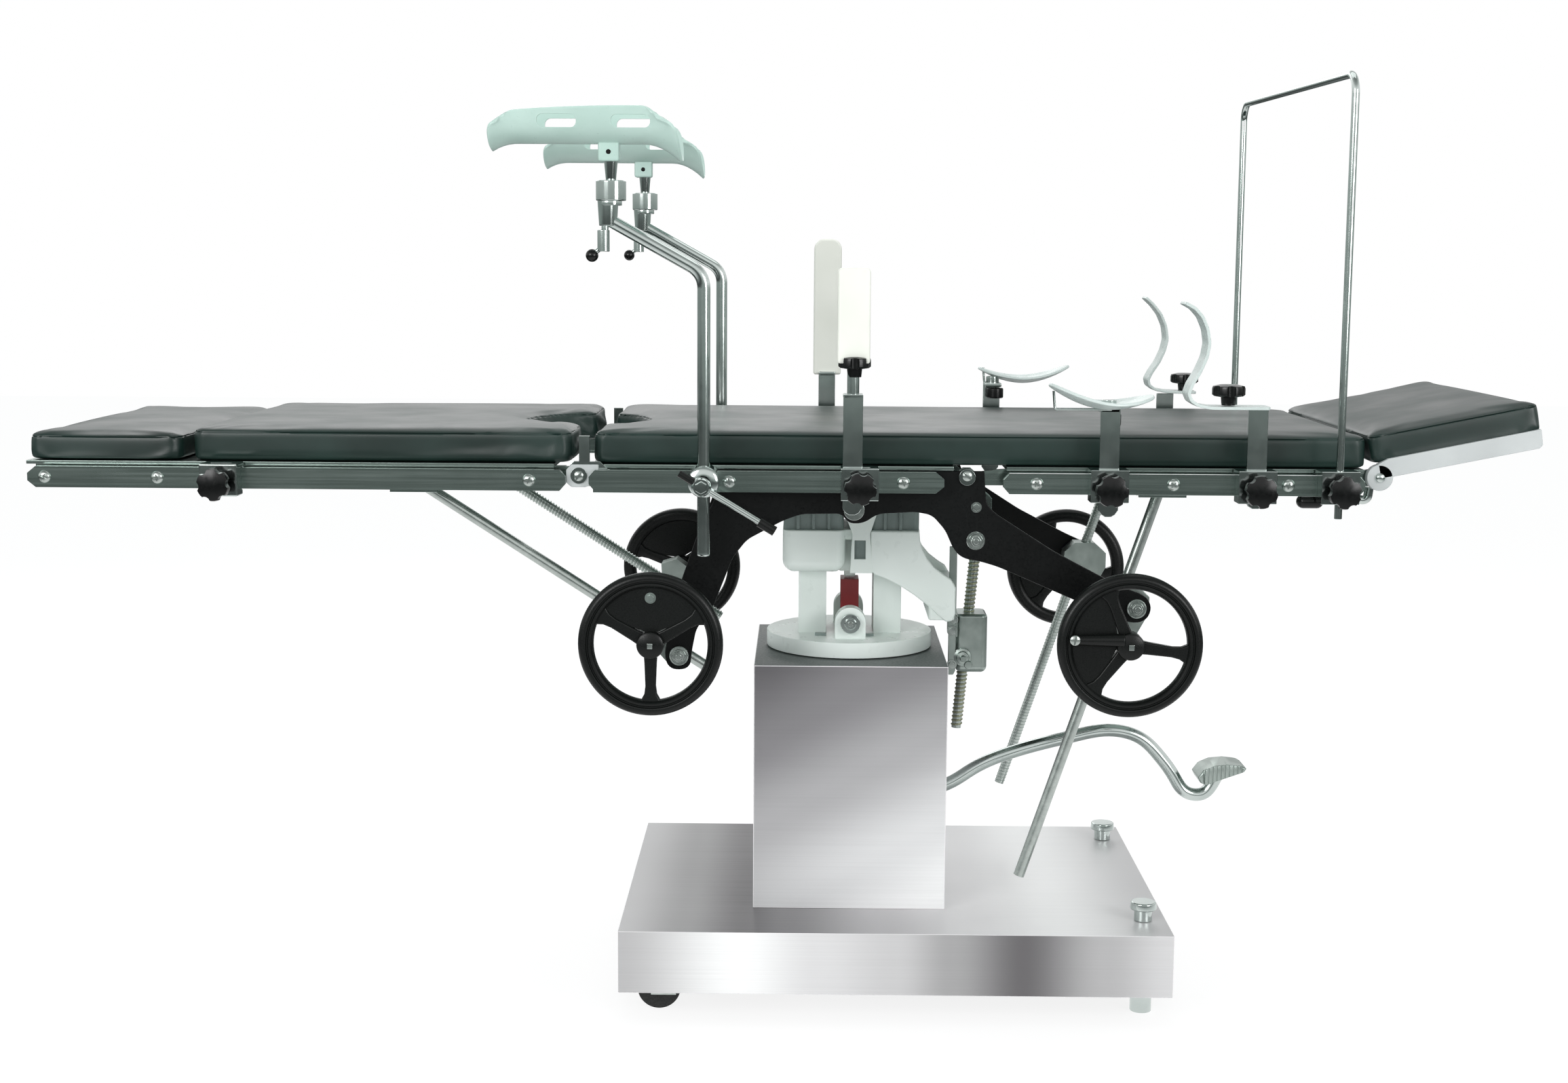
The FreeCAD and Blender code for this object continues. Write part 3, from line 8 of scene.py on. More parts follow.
# %% Load the frame
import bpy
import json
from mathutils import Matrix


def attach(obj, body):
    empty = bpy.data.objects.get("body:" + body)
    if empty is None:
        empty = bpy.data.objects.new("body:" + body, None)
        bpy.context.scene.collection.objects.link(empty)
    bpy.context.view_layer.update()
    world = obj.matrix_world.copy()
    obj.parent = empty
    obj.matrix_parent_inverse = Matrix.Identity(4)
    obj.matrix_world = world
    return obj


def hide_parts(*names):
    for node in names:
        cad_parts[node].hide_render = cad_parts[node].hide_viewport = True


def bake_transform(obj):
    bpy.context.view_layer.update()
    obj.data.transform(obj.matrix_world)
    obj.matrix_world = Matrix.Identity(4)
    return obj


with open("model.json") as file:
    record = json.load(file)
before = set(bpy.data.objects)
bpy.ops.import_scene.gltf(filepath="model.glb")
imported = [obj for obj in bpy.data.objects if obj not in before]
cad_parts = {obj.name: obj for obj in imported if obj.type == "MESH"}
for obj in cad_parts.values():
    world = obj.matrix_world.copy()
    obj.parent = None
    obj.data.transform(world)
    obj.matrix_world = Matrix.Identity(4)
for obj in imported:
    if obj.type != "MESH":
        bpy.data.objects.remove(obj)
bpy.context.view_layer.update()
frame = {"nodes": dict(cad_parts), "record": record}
import json
import math
import bpy
from mathutils import Matrix, Vector

MM = 0.001
BODY_OF = {node: body for body, nodes in frame["record"]["behaviour"]["bodies"].items() for node in nodes}
SLOT_OF = {row["node"]: row["material_slot"] for row in frame["record"]["subparts"]}
SIDES = {"near": -1, "far": 1}

# %% [markdown]
# ## Working habits
# Operators act on everything that is selected, so each step starts from an empty selection.
# Pieces are made with their place in the mesh, as the frame's own nodes are, so that a
# pattern on object coordinates stays put. All the sizes below are millimetres in the
# table's own frame.

# %% Selection and finishing helpers


def only(*pieces):
    """Select these objects alone and make the first one active."""
    if bpy.context.object and bpy.context.object.mode != "OBJECT":
        bpy.ops.object.mode_set(mode="OBJECT")
    for item in bpy.context.selected_objects:
        item.select_set(False)
    for item in pieces:
        item.select_set(True)
    bpy.context.view_layer.objects.active = pieces[0]
    return pieces[0]


def settle(piece):
    """Write the object's place, turn and scale into its mesh."""
    only(piece)
    bpy.ops.object.transform_apply(location=True, rotation=True, scale=True)
    return piece


def modify(piece, kind, **settings):
    """Add a modifier and apply it at once."""
    only(piece)
    modifier = piece.modifiers.new(kind.title(), kind)
    for name, value in settings.items():
        setattr(modifier, name, value)
    bpy.ops.object.modifier_apply(modifier=modifier.name)
    return piece


def smooth(piece, degrees=35):
    only(piece)
    bpy.ops.object.shade_smooth_by_angle(angle=math.radians(degrees))
    return piece


def soften(piece, width, segments=2, degrees=35):
    """Round every edge sharper than an angle, as a file or a casting mould does."""
    modify(piece, "BEVEL", width=width * MM, segments=segments, limit_method="ANGLE",
           angle_limit=math.radians(degrees), use_clamp_overlap=True)
    smooth(piece, 45)
    return modify(piece, "WEIGHTED_NORMAL", keep_sharp=True, weight=80)


def joined(name, pieces):
    """Join objects into one mesh with this name."""
    only(*pieces)
    if len(pieces) > 1:
        bpy.ops.object.join()
    piece = bpy.context.object
    piece.name = name
    piece.data.name = name
    return settle(piece)


def outward(piece):
    """Merge doubled points and turn all faces to point outwards."""
    only(piece)
    bpy.ops.object.mode_set(mode="EDIT")
    bpy.ops.mesh.select_all(action="SELECT")
    bpy.ops.mesh.remove_doubles(threshold=0.00001)
    bpy.ops.mesh.normals_make_consistent(inside=False)
    bpy.ops.object.mode_set(mode="OBJECT")
    return piece


def dress(piece, material, body, slot=None, *nodes):
    """Give a finished piece its material and its body, and hide the nodes that it stands for. The slot argument is
    not used.
    """
    piece.data.materials.clear()
    piece.data.materials.append(material)
    if nodes:
        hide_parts(*nodes)
    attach(piece, body)
    return piece


def choose(piece, kind, test):
    """Open a mesh for editing with the points, edges or faces chosen that pass a test in mm."""
    only(piece)
    bpy.context.tool_settings.mesh_select_mode = (kind == "VERT", kind == "EDGE", kind == "FACE")
    mesh = piece.data
    places = [vertex.co / MM for vertex in mesh.vertices]
    for items in (mesh.vertices, mesh.edges, mesh.polygons):
        items.foreach_set("select", [False] * len(items))
    if kind == "VERT":
        mesh.vertices.foreach_set("select", [bool(test(place)) for place in places])
    elif kind == "EDGE":
        mesh.edges.foreach_set("select", [bool(test(*(places[n] for n in edge.vertices))) for edge in mesh.edges])
    else:
        mesh.polygons.foreach_set("select", [bool(test(face.center / MM, face.normal)) for face in mesh.polygons])
    bpy.ops.object.mode_set(mode="EDIT")
    return piece


def reshape(piece, move):
    """Move every point to where a function of its place in mm puts it, as with soft selection."""
    only(piece)
    for vertex in piece.data.vertices:
        vertex.co = Vector(move(*(vertex.co / MM))) * MM
    piece.data.update()
    return piece


def far_side(piece):
    """Mirror a piece across the middle of the table."""
    piece.data.transform(Matrix.Scale(-1, 4, (0, 1, 0)))
    piece.data.flip_normals()
    return piece


def turn_at(x, z, degrees):
    """Turn about a line along Y through (x, z) in mm. Positive turns bring +X down."""
    pivot = Vector((x, 0, z)) * MM
    return Matrix.Translation(pivot) @ Matrix.Rotation(math.radians(degrees), 4, "Y") @ Matrix.Translation(-pivot)


def copy_of(piece, name, shift=(0, 0, 0), turn=None, mirrored=False):
    """A copy with its own mesh, turned about the origin, moved, and mirrored to the far side."""
    twin = piece.copy()
    twin.data = piece.data.copy()
    twin.name = twin.data.name = name
    bpy.context.scene.collection.objects.link(twin)
    twin.data.transform(Matrix.Translation(Vector(shift) * MM) @ (turn or Matrix()))
    return far_side(twin) if mirrored else twin


def minus(piece, *cutters):
    """Cut tools out of a piece and throw the tools away."""
    for cutter in cutters:
        modify(piece, "BOOLEAN", operation="DIFFERENCE", object=cutter, solver="EXACT")
        bpy.data.objects.remove(cutter)
    return piece


# %% [markdown]
# ## Stock shapes
# A cylinder, block, bent bar or cut plate is the stock that a workshop starts from. Each is
# added at its real size and place and then shaped.

# %% Stock helpers
AXIS_TURN = {"X": (0, math.pi / 2, 0), "Y": (math.pi / 2, 0, 0), "Z": (0, 0, 0)}


def cylinder(axis, radius, low, high, first, second, sides=32, top=None):
    """Round bar along an axis from low to high. first and second are its other two coordinates."""
    middle = (low + high) / 2
    centre = {"X": (middle, first, second), "Y": (first, middle, second), "Z": (first, second, middle)}[axis]
    place = [value * MM for value in centre]
    if top is None:
        bpy.ops.mesh.primitive_cylinder_add(vertices=sides, radius=radius * MM, depth=abs(high - low) * MM,
                                            location=place, rotation=AXIS_TURN[axis])
    else:
        bpy.ops.mesh.primitive_cone_add(vertices=sides, radius1=radius * MM, radius2=top * MM,
                                        depth=abs(high - low) * MM, location=place, rotation=AXIS_TURN[axis])
    return settle(bpy.context.object)


def block(x, y, z):
    """Block between two values on each axis."""
    bpy.ops.mesh.primitive_cube_add(size=1, location=[(a + b) / 2 * MM for a, b in (x, y, z)])
    piece = bpy.context.object
    piece.scale = [abs(b - a) * MM for a, b in (x, y, z)]
    return settle(piece)


def mesh_piece(name, points, edges=(), faces=()):
    mesh = bpy.data.meshes.new(name)
    mesh.from_pydata([Vector(point) * MM for point in points], edges, faces)
    piece = bpy.data.objects.new(name, mesh)
    bpy.context.scene.collection.objects.link(piece)
    return piece


def plate(points, low, high):
    """Flat shape drawn on X and Z and extruded from low to high along Y."""
    piece = mesh_piece("plate", [(x, low, z) for x, z in points], (), [range(len(points))])
    only(piece)
    bpy.ops.object.mode_set(mode="EDIT")
    bpy.ops.mesh.select_all(action="SELECT")
    bpy.ops.mesh.extrude_region_move(TRANSFORM_OT_translate={"value": (0, (high - low) * MM, 0)})
    return outward(piece)


def lathe(profile, centre, steps=48):
    """Profile of (radius, y) points spun about a line along Y through centre, as on a lathe."""
    x, z = centre
    count = len(profile)
    loop = [(n, n + 1) for n in range(count - 1)]
    if profile[0][0] > 0:
        loop.append((count - 1, 0))
    piece = mesh_piece("turned", [(x + radius, y, z) for radius, y in profile], loop)
    only(piece)
    bpy.ops.object.mode_set(mode="EDIT")
    bpy.ops.mesh.select_all(action="SELECT")
    bpy.ops.mesh.spin(steps=steps, angle=math.tau, center=(x * MM, 0, z * MM), axis=(0, 1, 0))
    return smooth(outward(piece), 40)


def tube(name, radius, points, bend=20, sides=8):
    """Round bar swept along a line. Corners are rounded to bend, and 0 gives a free smooth curve."""
    curve = bpy.data.curves.new(name, "CURVE")
    curve.dimensions = "3D"
    curve.bevel_depth = radius * MM
    curve.bevel_resolution = sides
    curve.use_fill_caps = True
    spots = [Vector(point) * MM for point in points]
    path = [spots[0]]
    for before, corner, after in zip(spots, spots[1:], spots[2:]):
        back, forth = (before - corner).normalized(), (after - corner).normalized()
        half = back.angle(forth) / 2
        shorter = min((before - corner).length, (after - corner).length)
        reach = min(max(bend, 1) * MM / math.tan(half), shorter * 0.49)
        for step in range(9):
            t = step / 8
            path.append(corner + back * reach * (1 - t) ** 2 + forth * reach * t ** 2)
    path.append(spots[-1])
    if not bend:
        path = spots
    spline = curve.splines.new("POLY" if bend else "NURBS")
    spline.points.add(len(path) - 1)
    for point, place in zip(spline.points, path):
        point.co = (*place, 1)
    spline.order_u, spline.use_endpoint_u, spline.resolution_u = 4, True, 6
    piece = bpy.data.objects.new(name, curve)
    bpy.context.scene.collection.objects.link(piece)
    only(piece)
    bpy.ops.object.convert(target="MESH")
    return smooth(outward(bpy.context.object), 50)


def from_frame(node, width=0.8, segments=2, degrees=30):
    """Copy a node's mesh, merge its loose triangles into faces and round its edges."""
    mesh = frame["nodes"][node].data.copy()
    piece = bpy.data.objects.new("dressed_" + node, mesh)
    bpy.context.scene.collection.objects.link(piece)
    only(piece)
    bpy.ops.object.mode_set(mode="EDIT")
    bpy.ops.mesh.select_all(action="SELECT")
    bpy.ops.mesh.remove_doubles(threshold=0.00002)
    bpy.ops.mesh.dissolve_limited(angle_limit=math.radians(0.8))
    bpy.ops.object.mode_set(mode="OBJECT")
    if width:
        return soften(piece, width, segments, degrees)
    return smooth(piece, degrees)


# %% [markdown]
# ## Materials
# Each finish starts from the real one: what it is made of and how its surface was worked.
# Colours are written as the hex values a paint chart gives and turned to linear light by one
# function, because the renderer adds light, not hex values. One small function adds a
# shader node with its settings and its links.

# %% Material helpers


def linear(code):
    """sRGB hex colour to linear RGBA."""
    values = [int(code[i:i + 2], 16) / 255 for i in (1, 3, 5)]
    return tuple(v / 12.92 if v <= 0.04045 else ((v + 0.055) / 1.055) ** 2.4 for v in values) + (1.0,)


def add_node(tree, kind, links=(), stops=(), **settings):
    """Add a shader node: settings go to its properties or inputs, links join sockets, stops fill a ramp."""
    item = tree.nodes.new(kind)
    for name, value in settings.items():
        if hasattr(item, name):
            setattr(item, name, value)
        else:
            item.inputs[int(name[1:]) if name[0] == "_" else name.replace("_", " ")].default_value = value
    for socket, origin in links:
        tree.links.new(origin, item.inputs[socket])
    for n, (position, code) in enumerate(stops):
        element = item.color_ramp.elements[n] if n < 2 else item.color_ramp.elements.new(position)
        element.position, element.color = position, linear(code)
    return item


def new_material(name, roughness, metallic=0.0, ior=None, **settings):
    """A material with its shader, ready for its patterns."""
    material = bpy.data.materials.new(name)
    material.use_nodes = True
    shader = material.node_tree.nodes["Principled BSDF"]
    shader.inputs["Roughness"].default_value = roughness
    shader.inputs["Metallic"].default_value = metallic
    if ior:
        shader.inputs["IOR"].default_value = ior
    for key, value in settings.items():
        shader.inputs[key.replace("_", " ")].default_value = value
    return material, material.node_tree, shader


# %% [markdown]
# ### Leatherette
# The mattress cover is PVC-coated fabric, embossed with a fine hide grain about 1 mm across
# and wiped down daily, so it has a soft, slightly uneven gloss. Voronoi cells give the grain,
# and a broad noise lifts the roughness where hands have dulled it.

# %% Leatherette
leatherette, tree, shader = new_material("embossed_pvc_leatherette", 0.42, ior=1.5)
spots = add_node(tree, "ShaderNodeTexCoord").outputs["Object"]
grain = add_node(tree, "ShaderNodeTexVoronoi", [("Vector", spots)], Scale=900.0, feature="DISTANCE_TO_EDGE")
worn = add_node(tree, "ShaderNodeTexNoise", [("Vector", spots)], Scale=9.0, Detail=3.0)
tone = add_node(tree, "ShaderNodeValToRGB", [("Fac", worn.outputs["Fac"])], [(0.3, "#10211d"), (0.7, "#19302b")])
gloss = add_node(tree, "ShaderNodeMapRange", [("Value", worn.outputs["Fac"])], From_Min=0.3, From_Max=0.7,
                 To_Min=0.34, To_Max=0.46)
relief = add_node(tree, "ShaderNodeBump", [("Height", grain.outputs["Distance"])], Strength=0.10, Distance=0.0004)
tree.links.new(tone.outputs["Color"], shader.inputs["Base Color"])
tree.links.new(gloss.outputs["Result"], shader.inputs["Roughness"])
tree.links.new(relief.outputs["Normal"], shader.inputs["Normal"])
print("leatherette grain 1.1 mm")

# %% [markdown]
# ### Stainless and chromed steel
# Rails and rods are bright drawn steel, with fine lines along the bar. Small fittings are
# chrome plated, smooth with faint waves from the casting below. The noise is stretched along
# the bar so that it turns into drawing lines.

# %% Steel finishes


def steel(name, light, dark, roughness, lines, relief=0.03, spread=0.25):
    """Metal with brushed lines. lines is the noise scale per metre on each axis."""
    material, tree, shader = new_material(name, roughness, metallic=1.0)
    spots = add_node(tree, "ShaderNodeTexCoord").outputs["Object"]
    drawn = add_node(tree, "ShaderNodeMapping", [("Vector", spots)], Scale=lines)
    streaks = add_node(tree, "ShaderNodeTexNoise", [("Vector", drawn.outputs["Vector"])], Scale=1.0, Detail=3.0)
    cloud = add_node(tree, "ShaderNodeTexNoise", [("Vector", spots)], Scale=14.0, Detail=3.0)
    mixed = add_node(tree, "ShaderNodeMath", [(0, streaks.outputs["Fac"]), (1, cloud.outputs["Fac"])],
                     operation="MULTIPLY_ADD", _2=0.25)
    tone = add_node(tree, "ShaderNodeValToRGB", [("Fac", mixed.outputs[0])], [(0.3, dark), (0.7, light)])
    gloss = add_node(tree, "ShaderNodeMapRange", [("Value", streaks.outputs["Fac"])], From_Min=0.3, From_Max=0.7,
                     To_Min=roughness * (1 - spread), To_Max=roughness * (1 + spread))
    waves = add_node(tree, "ShaderNodeBump", [("Height", streaks.outputs["Fac"])], Strength=relief, Distance=0.0002)
    tree.links.new(tone.outputs["Color"], shader.inputs["Base Color"])
    tree.links.new(gloss.outputs["Result"], shader.inputs["Roughness"])
    tree.links.new(waves.outputs["Normal"], shader.inputs["Normal"])
    return material


rail_steel = steel("drawn_stainless_bar", "#afbcb7", "#9aa8a2", 0.20, (5, 300, 300), 0.006, 0.12)
chrome = steel("chrome_plate", "#cdd5d2", "#bac3c0", 0.13, (40, 40, 40), 0.004, 0.1)
bright_steel = steel("turned_steel", "#c4cbc7", "#a5ada9", 0.24, (120, 120, 120), 0.006, 0.12)
zinc = steel("zinc_plated_steel", "#b4beb9", "#95a09b", 0.34, (50, 50, 50), 0.012, 0.12)
oiled_steel = steel("oiled_threaded_steel", "#a3a58c", "#7c7f69", 0.28, (90, 90, 90), 0.01, 0.12)
print("steels", 5)

# %% [markdown]
# ### Brushed shrouds with painted reflections
# The base and column shrouds are brushed sheet. Long soft bands of reflected light and shade
# are painted into their base colour, over the fine brushing streaks. The bands are drawn once
# in the sheet's own coordinates: along X on the base, and falling from the upper left on the column.

# %% Brushed panels with painted reflection bands


def banded_reflection_panel(name, axis, start, end, bands, metallic=0.35, roughness=0.42, slope=0.0):
    """Brushed sheet whose colour follows painted bands of reflected light and shade along one axis, from start to end
    in metres.
    """
    material, tree, shader = new_material(name, roughness, metallic=metallic)
    spots = add_node(tree, "ShaderNodeTexCoord").outputs["Object"]
    parts = add_node(tree, "ShaderNodeSeparateXYZ", [("Vector", spots)])
    along = add_node(tree, "ShaderNodeMath", [(0, parts.outputs["X"]), (2, parts.outputs[axis])],
                     operation="MULTIPLY_ADD", _1=slope)
    place = add_node(tree, "ShaderNodeMapRange", [("Value", along.outputs[0])], From_Min=start, From_Max=end)
    tone = add_node(tree, "ShaderNodeValToRGB", [("Fac", place.outputs["Result"])], bands)
    tone.color_ramp.interpolation = "EASE"
    brushed = add_node(tree, "ShaderNodeMapping", [("Vector", spots)], Scale=(3, 500, 500))
    streaks = add_node(tree, "ShaderNodeTexNoise", [("Vector", brushed.outputs["Vector"])], Scale=1.0, Detail=3.0)
    shade = add_node(tree, "ShaderNodeValToRGB", [("Fac", streaks.outputs["Fac"])],
                     [(0.3, "#b8b8b8"), (0.7, "#ffffff")])
    tint = add_node(tree, "ShaderNodeMix", [(6, tone.outputs["Color"]), (7, shade.outputs["Color"])],
                    data_type="RGBA", blend_type="MULTIPLY", _0=0.10)
    gloss = add_node(tree, "ShaderNodeMapRange", [("Value", streaks.outputs["Fac"])], From_Min=0.3, From_Max=0.7,
                     To_Min=roughness * 0.85, To_Max=roughness * 1.15)
    waves = add_node(tree, "ShaderNodeBump", [("Height", streaks.outputs["Fac"])], Strength=0.02, Distance=0.0002)
    tree.links.new(tint.outputs[2], shader.inputs["Base Color"])
    tree.links.new(gloss.outputs["Result"], shader.inputs["Roughness"])
    tree.links.new(waves.outputs["Normal"], shader.inputs["Normal"])
    return material


# Painted reflections: the light and dark bands below stand for the studio reflected in the polished sheet, painted
# into the base colour.
base_top_painted_reflection = banded_reflection_panel("brushed_base_top_painted_reflection", "X", -0.216, 0.540, [
    (0.0, "#c4c3c4"), (0.12, "#9c9b9c"), (0.22, "#6c6a6c"), (0.30, "#8b898b"), (0.48, "#c0bec0"), (0.64, "#dcdbdc"),
    (0.80, "#fbfbfb"), (1.0, "#cfcecf")])
base_front_painted_reflection = banded_reflection_panel("brushed_base_front_painted_reflection", "X", -0.216, 0.540, [
    (0.0, "#bfbebf"), (0.22, "#ffffff"), (0.36, "#e2e1e2"), (0.50, "#cfcecf"), (0.60, "#aaa9aa"),
    (0.73, "#6b696b"), (0.88, "#b9b8b9"), (1.0, "#d9d8d9")])
column_painted_reflection = banded_reflection_panel("brushed_column_painted_reflection", "Z", 0.02, 0.50, [
    (0.0, "#ffffff"), (0.22, "#e4e4e5"), (0.5, "#b4b3b5"), (0.75, "#8d8b8e"), (1.0, "#6c6a6d")], slope=-0.55)
print("panel bands placed")

# %% [markdown]
# ### Paint, enamel, plastics and rubber
# The side plates and handwheels are black: stoved paint on sheet, and enamel over a sand
# casting, whose slight grain still shows. The pedestal castings are white enamel with soft
# runs. Shells, dishes and braces are moulded plastic, and star knobs are phenolic resin.

# %% Paint and plastic finishes


def coated(name, light, dark, roughness, grit, relief, ior=1.5, coat=0.0, shine=0.5):
    """Painted or moulded surface with a faint texture of grit per metre."""
    material, tree, shader = new_material(name, roughness, ior=ior, Coat_Weight=coat, Coat_Roughness=0.12,
                                          Specular_IOR_Level=shine)
    spots = add_node(tree, "ShaderNodeTexCoord").outputs["Object"]
    fine = add_node(tree, "ShaderNodeTexNoise", [("Vector", spots)], Scale=grit, Detail=3.0)
    broad = add_node(tree, "ShaderNodeTexNoise", [("Vector", spots)], Scale=11.0)
    tone = add_node(tree, "ShaderNodeValToRGB", [("Fac", broad.outputs["Fac"])], [(0.3, dark), (0.7, light)])
    gloss = add_node(tree, "ShaderNodeMapRange", [("Value", fine.outputs["Fac"])], From_Min=0.3, From_Max=0.7,
                     To_Min=roughness * 0.8, To_Max=roughness * 1.25)
    grain = add_node(tree, "ShaderNodeBump", [("Height", fine.outputs["Fac"])], Strength=relief, Distance=0.0004)
    tree.links.new(tone.outputs["Color"], shader.inputs["Base Color"])
    tree.links.new(gloss.outputs["Result"], shader.inputs["Roughness"])
    tree.links.new(grain.outputs["Normal"], shader.inputs["Normal"])
    return material


black_paint = coated("stoved_black_paint", "#0d0f0f", "#080909", 0.34, 420.0, 0.03, shine=0.2)
black_casting = coated("black_enamelled_casting", "#0d100f", "#080a09", 0.32, 650.0, 0.08, shine=0.28)
white_enamel = coated("white_enamelled_casting", "#f2faf6", "#ebf4ef", 0.32, 60.0, 0.01)
grey_enamel = coated("grey_enamelled_casting", "#8d9a97", "#74817e", 0.34, 260.0, 0.08)
head_grey = coated("light_grey_paint", "#c4c8c8", "#b6baba", 0.42, 300.0, 0.04)
red_paint = coated("dark_red_paint", "#8c1f24", "#6a171b", 0.42, 300.0, 0.08)
rubber = coated("black_rubber", "#1f2120", "#161817", 0.62, 500.0, 0.12)
phenolic = coated("black_phenolic_resin", "#0b0c0c", "#060707", 0.22, 200.0, 0.02, shine=0.35)
shell_plastic = coated("white_abs_shell", "#c3dbd3", "#b3cdc4", 0.34, 200.0, 0.01)
dish_plastic = coated("pearly_abs_dish", "#cfd9d6", "#c3cecb", 0.30, 90.0, 0.01)
cream_plastic = coated("cream_brace_pad", "#f0f1e9", "#e8eae1", 0.42, 300.0, 0.02)
# Painted highlight: near-white paint on rounded sheet edges and on the rails' top chamfer stands for the line of
# light that these edges catch.
painted_edge_highlight = coated("sheet_edge_painted_highlight", "#f7f3f5", "#efecee", 0.45, 300.0, 0.01)
column_lid = coated("dark_grey_lid", "#6d7372", "#646a69", 0.5, 300.0, 0.03)
print("finishes", len(bpy.data.materials))

FINISH = {
    "stainless": rail_steel, "chrome": chrome, "black_paint": black_paint, "white_enamel": white_enamel,
    "grey_enamel": grey_enamel, "cast_black": black_casting, "machined_steel": bright_steel, "red_paint": red_paint,
    "black_rubber": rubber, "black_plastic": phenolic, "white_plastic": shell_plastic,
}

# %% [markdown]
# ## Pads
# Each pad is firm foam in a leatherette cover, with upright corners rounded to 20 mm, softly
# rolled lower edges and a piped seam a few millimetres below the top. A bevelled block has
# the right outline but looks like wood, so it is remeshed and inflated a little with the
# cloth solver while its underside stays pinned to the deck. The seam comes last, because
# remeshing would wipe it out.

# %% Pad shape


def pad_block(x, low, high, notch=None, corner=18):
    """Block with rounded corners, and a round notch at one end between the patient's legs."""
    piece = block(x, (-247.5, 247.5), (low, high))
    if notch:
        centre, radius = notch
        minus(piece, cylinder("Z", radius, low - 20, high + 20, centre, 0, sides=96))
        end = x[0] if abs(centre - x[0]) < abs(centre - x[1]) else x[1]
    choose(piece, "EDGE", lambda a, b: abs(a.z - b.z) > 1 and (abs(a.y) > 240 or (notch and abs(a.x - end) < 0.5)))
    bpy.ops.mesh.bevel(offset=corner * MM, segments=6, affect="EDGES")
    choose(piece, "EDGE", lambda a, b: min(a.z, b.z) > high - 0.5)
    bpy.ops.mesh.bevel(offset=4 * MM, segments=2, affect="EDGES")
    choose(piece, "EDGE", lambda a, b: max(a.z, b.z) < low + 0.5)
    bpy.ops.mesh.bevel(offset=9 * MM, segments=3, affect="EDGES")
    return outward(piece)


def inflate(piece, low, limit=3.2):
    """Remesh to 6 mm and press the cover out with the cloth solver, at most limit mm anywhere."""
    modify(piece, "REMESH", mode="VOXEL", voxel_size=6 * MM)
    modify(piece, "SMOOTH", factor=0.5, iterations=2)
    rest = [vertex.co.copy() for vertex in piece.data.vertices]
    held = piece.vertex_groups.new(name="held")
    held.add([n for n, co in enumerate(rest) if co.z < (low + 3) * MM], 1.0, "REPLACE")
    cloth = piece.modifiers.new("Cloth", "CLOTH")
    cloth.settings.quality = 5
    cloth.settings.mass = 0.3
    cloth.settings.use_pressure = True
    cloth.settings.uniform_pressure_force = 4.0
    cloth.settings.effector_weights.gravity = 0.0
    cloth.settings.vertex_group_mass = "held"
    for number in range(1, 21):
        bpy.context.scene.frame_set(number)
    only(piece)
    bpy.ops.object.modifier_apply(modifier=cloth.name)
    bpy.context.scene.frame_set(1)
    for vertex, start in zip(piece.data.vertices, rest):
        moved = vertex.co - start
        if moved.length > limit * MM:
            vertex.co = start + moved.normalized() * limit * MM
    piece.vertex_groups.clear()
    modify(piece, "SUBSURF", levels=1)
    return piece


def sew(piece, level, depth=1.3):
    """Sink a seam line all round the side of a pad at one level."""
    for height in (level - 1.5, level, level + 1.5):
        choose(piece, "FACE", lambda centre, normal: True)
        bpy.ops.mesh.bisect(plane_co=(0, 0, height * MM), plane_no=(0, 0, 1))
    choose(piece, "VERT", lambda place: abs(place.z - level) < 0.02)
    bpy.ops.transform.shrink_fatten(value=-depth * MM)
    return smooth(piece, 80)


PADS = {
    "foot_pad": ((-1008, -797), 765.3, 800.5, None, "leg"),
    "leg_pad": ((-788, -275), 765.3, 808.5, (-254, 106.5), "leg"),
    "long_pad": ((-251, 783.5), 765.3, 808.5, (-315.3, 118.8), None),
    "head_pad": ((790, 1021), 772.0, 812.5, None, "head"),
}
pads = {}
for name, (reach, low, high, notch, body) in PADS.items():
    corner = 9 if name == "head_pad" else 18
    pad = joined("leatherette_" + name, [inflate(pad_block(reach, low, high, notch, corner), low)])
    pads[name] = sew(pad, high - 4.5)
    print(name, "points", len(pad.data.vertices))

# %% [markdown]
# The long pad lies over the seat and back sections as one piece and is attached to neither
# body. The head pad is made level and then tilted up about its hinge.

# %% Put the pads on their sections
HEAD_HINGE = (797, 754)
rise = turn_at(*HEAD_HINGE, -11.5)
pads["head_pad"].data.transform(rise)
for name, (reach, low, high, notch, body) in PADS.items():
    pad = pads[name]
    pad.data.materials.append(leatherette)
    if body:
        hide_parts(name)
        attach(pad, body)
    else:
        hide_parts("seat_pad", "back_pad")
        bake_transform(pad)

# %% [markdown]
# ## Fasteners
# Phillips screws hold the rails, hex bolts hold the drives. Each kind is turned once as a
# short profile on the lathe, gets its recess cut, and is copied to its places. They face the
# near side, and the far ones are mirrored.

# %% Model the fasteners
blanks = {}
screw = lathe([(0, -4.2), (3, -4.1), (6.2, -3.2), (8.2, -1.2), (8.5, 0), (0, 0)], (0, 0), 32)
minus(screw, block((-4.6, 4.6), (-5, -2.6), (-0.9, 0.9)), block((-0.9, 0.9), (-5, -2.6), (-4.6, 4.6)))
blanks["phillips"] = smooth(screw, 40)
washer = lathe([(3, -1.6), (11.5, -1.6), (12.5, -0.6), (12.5, 0), (3, 0)], (0, 0), 40)
ring = lathe([(4, -3.2), (8.6, -3.2), (9.4, -2.2), (9.4, -1.5), (4, -1.5)], (0, 0), 40)
nut = soften(cylinder("Y", 7.6, -8.2, -1.5, 0, 0, sides=6), 0.8)
stud = soften(cylinder("Y", 4.2, -10.5, -1.5, 0, 0, sides=20), 0.8)
blanks["hex"] = joined("hex_blank", [washer, ring, nut, stud])
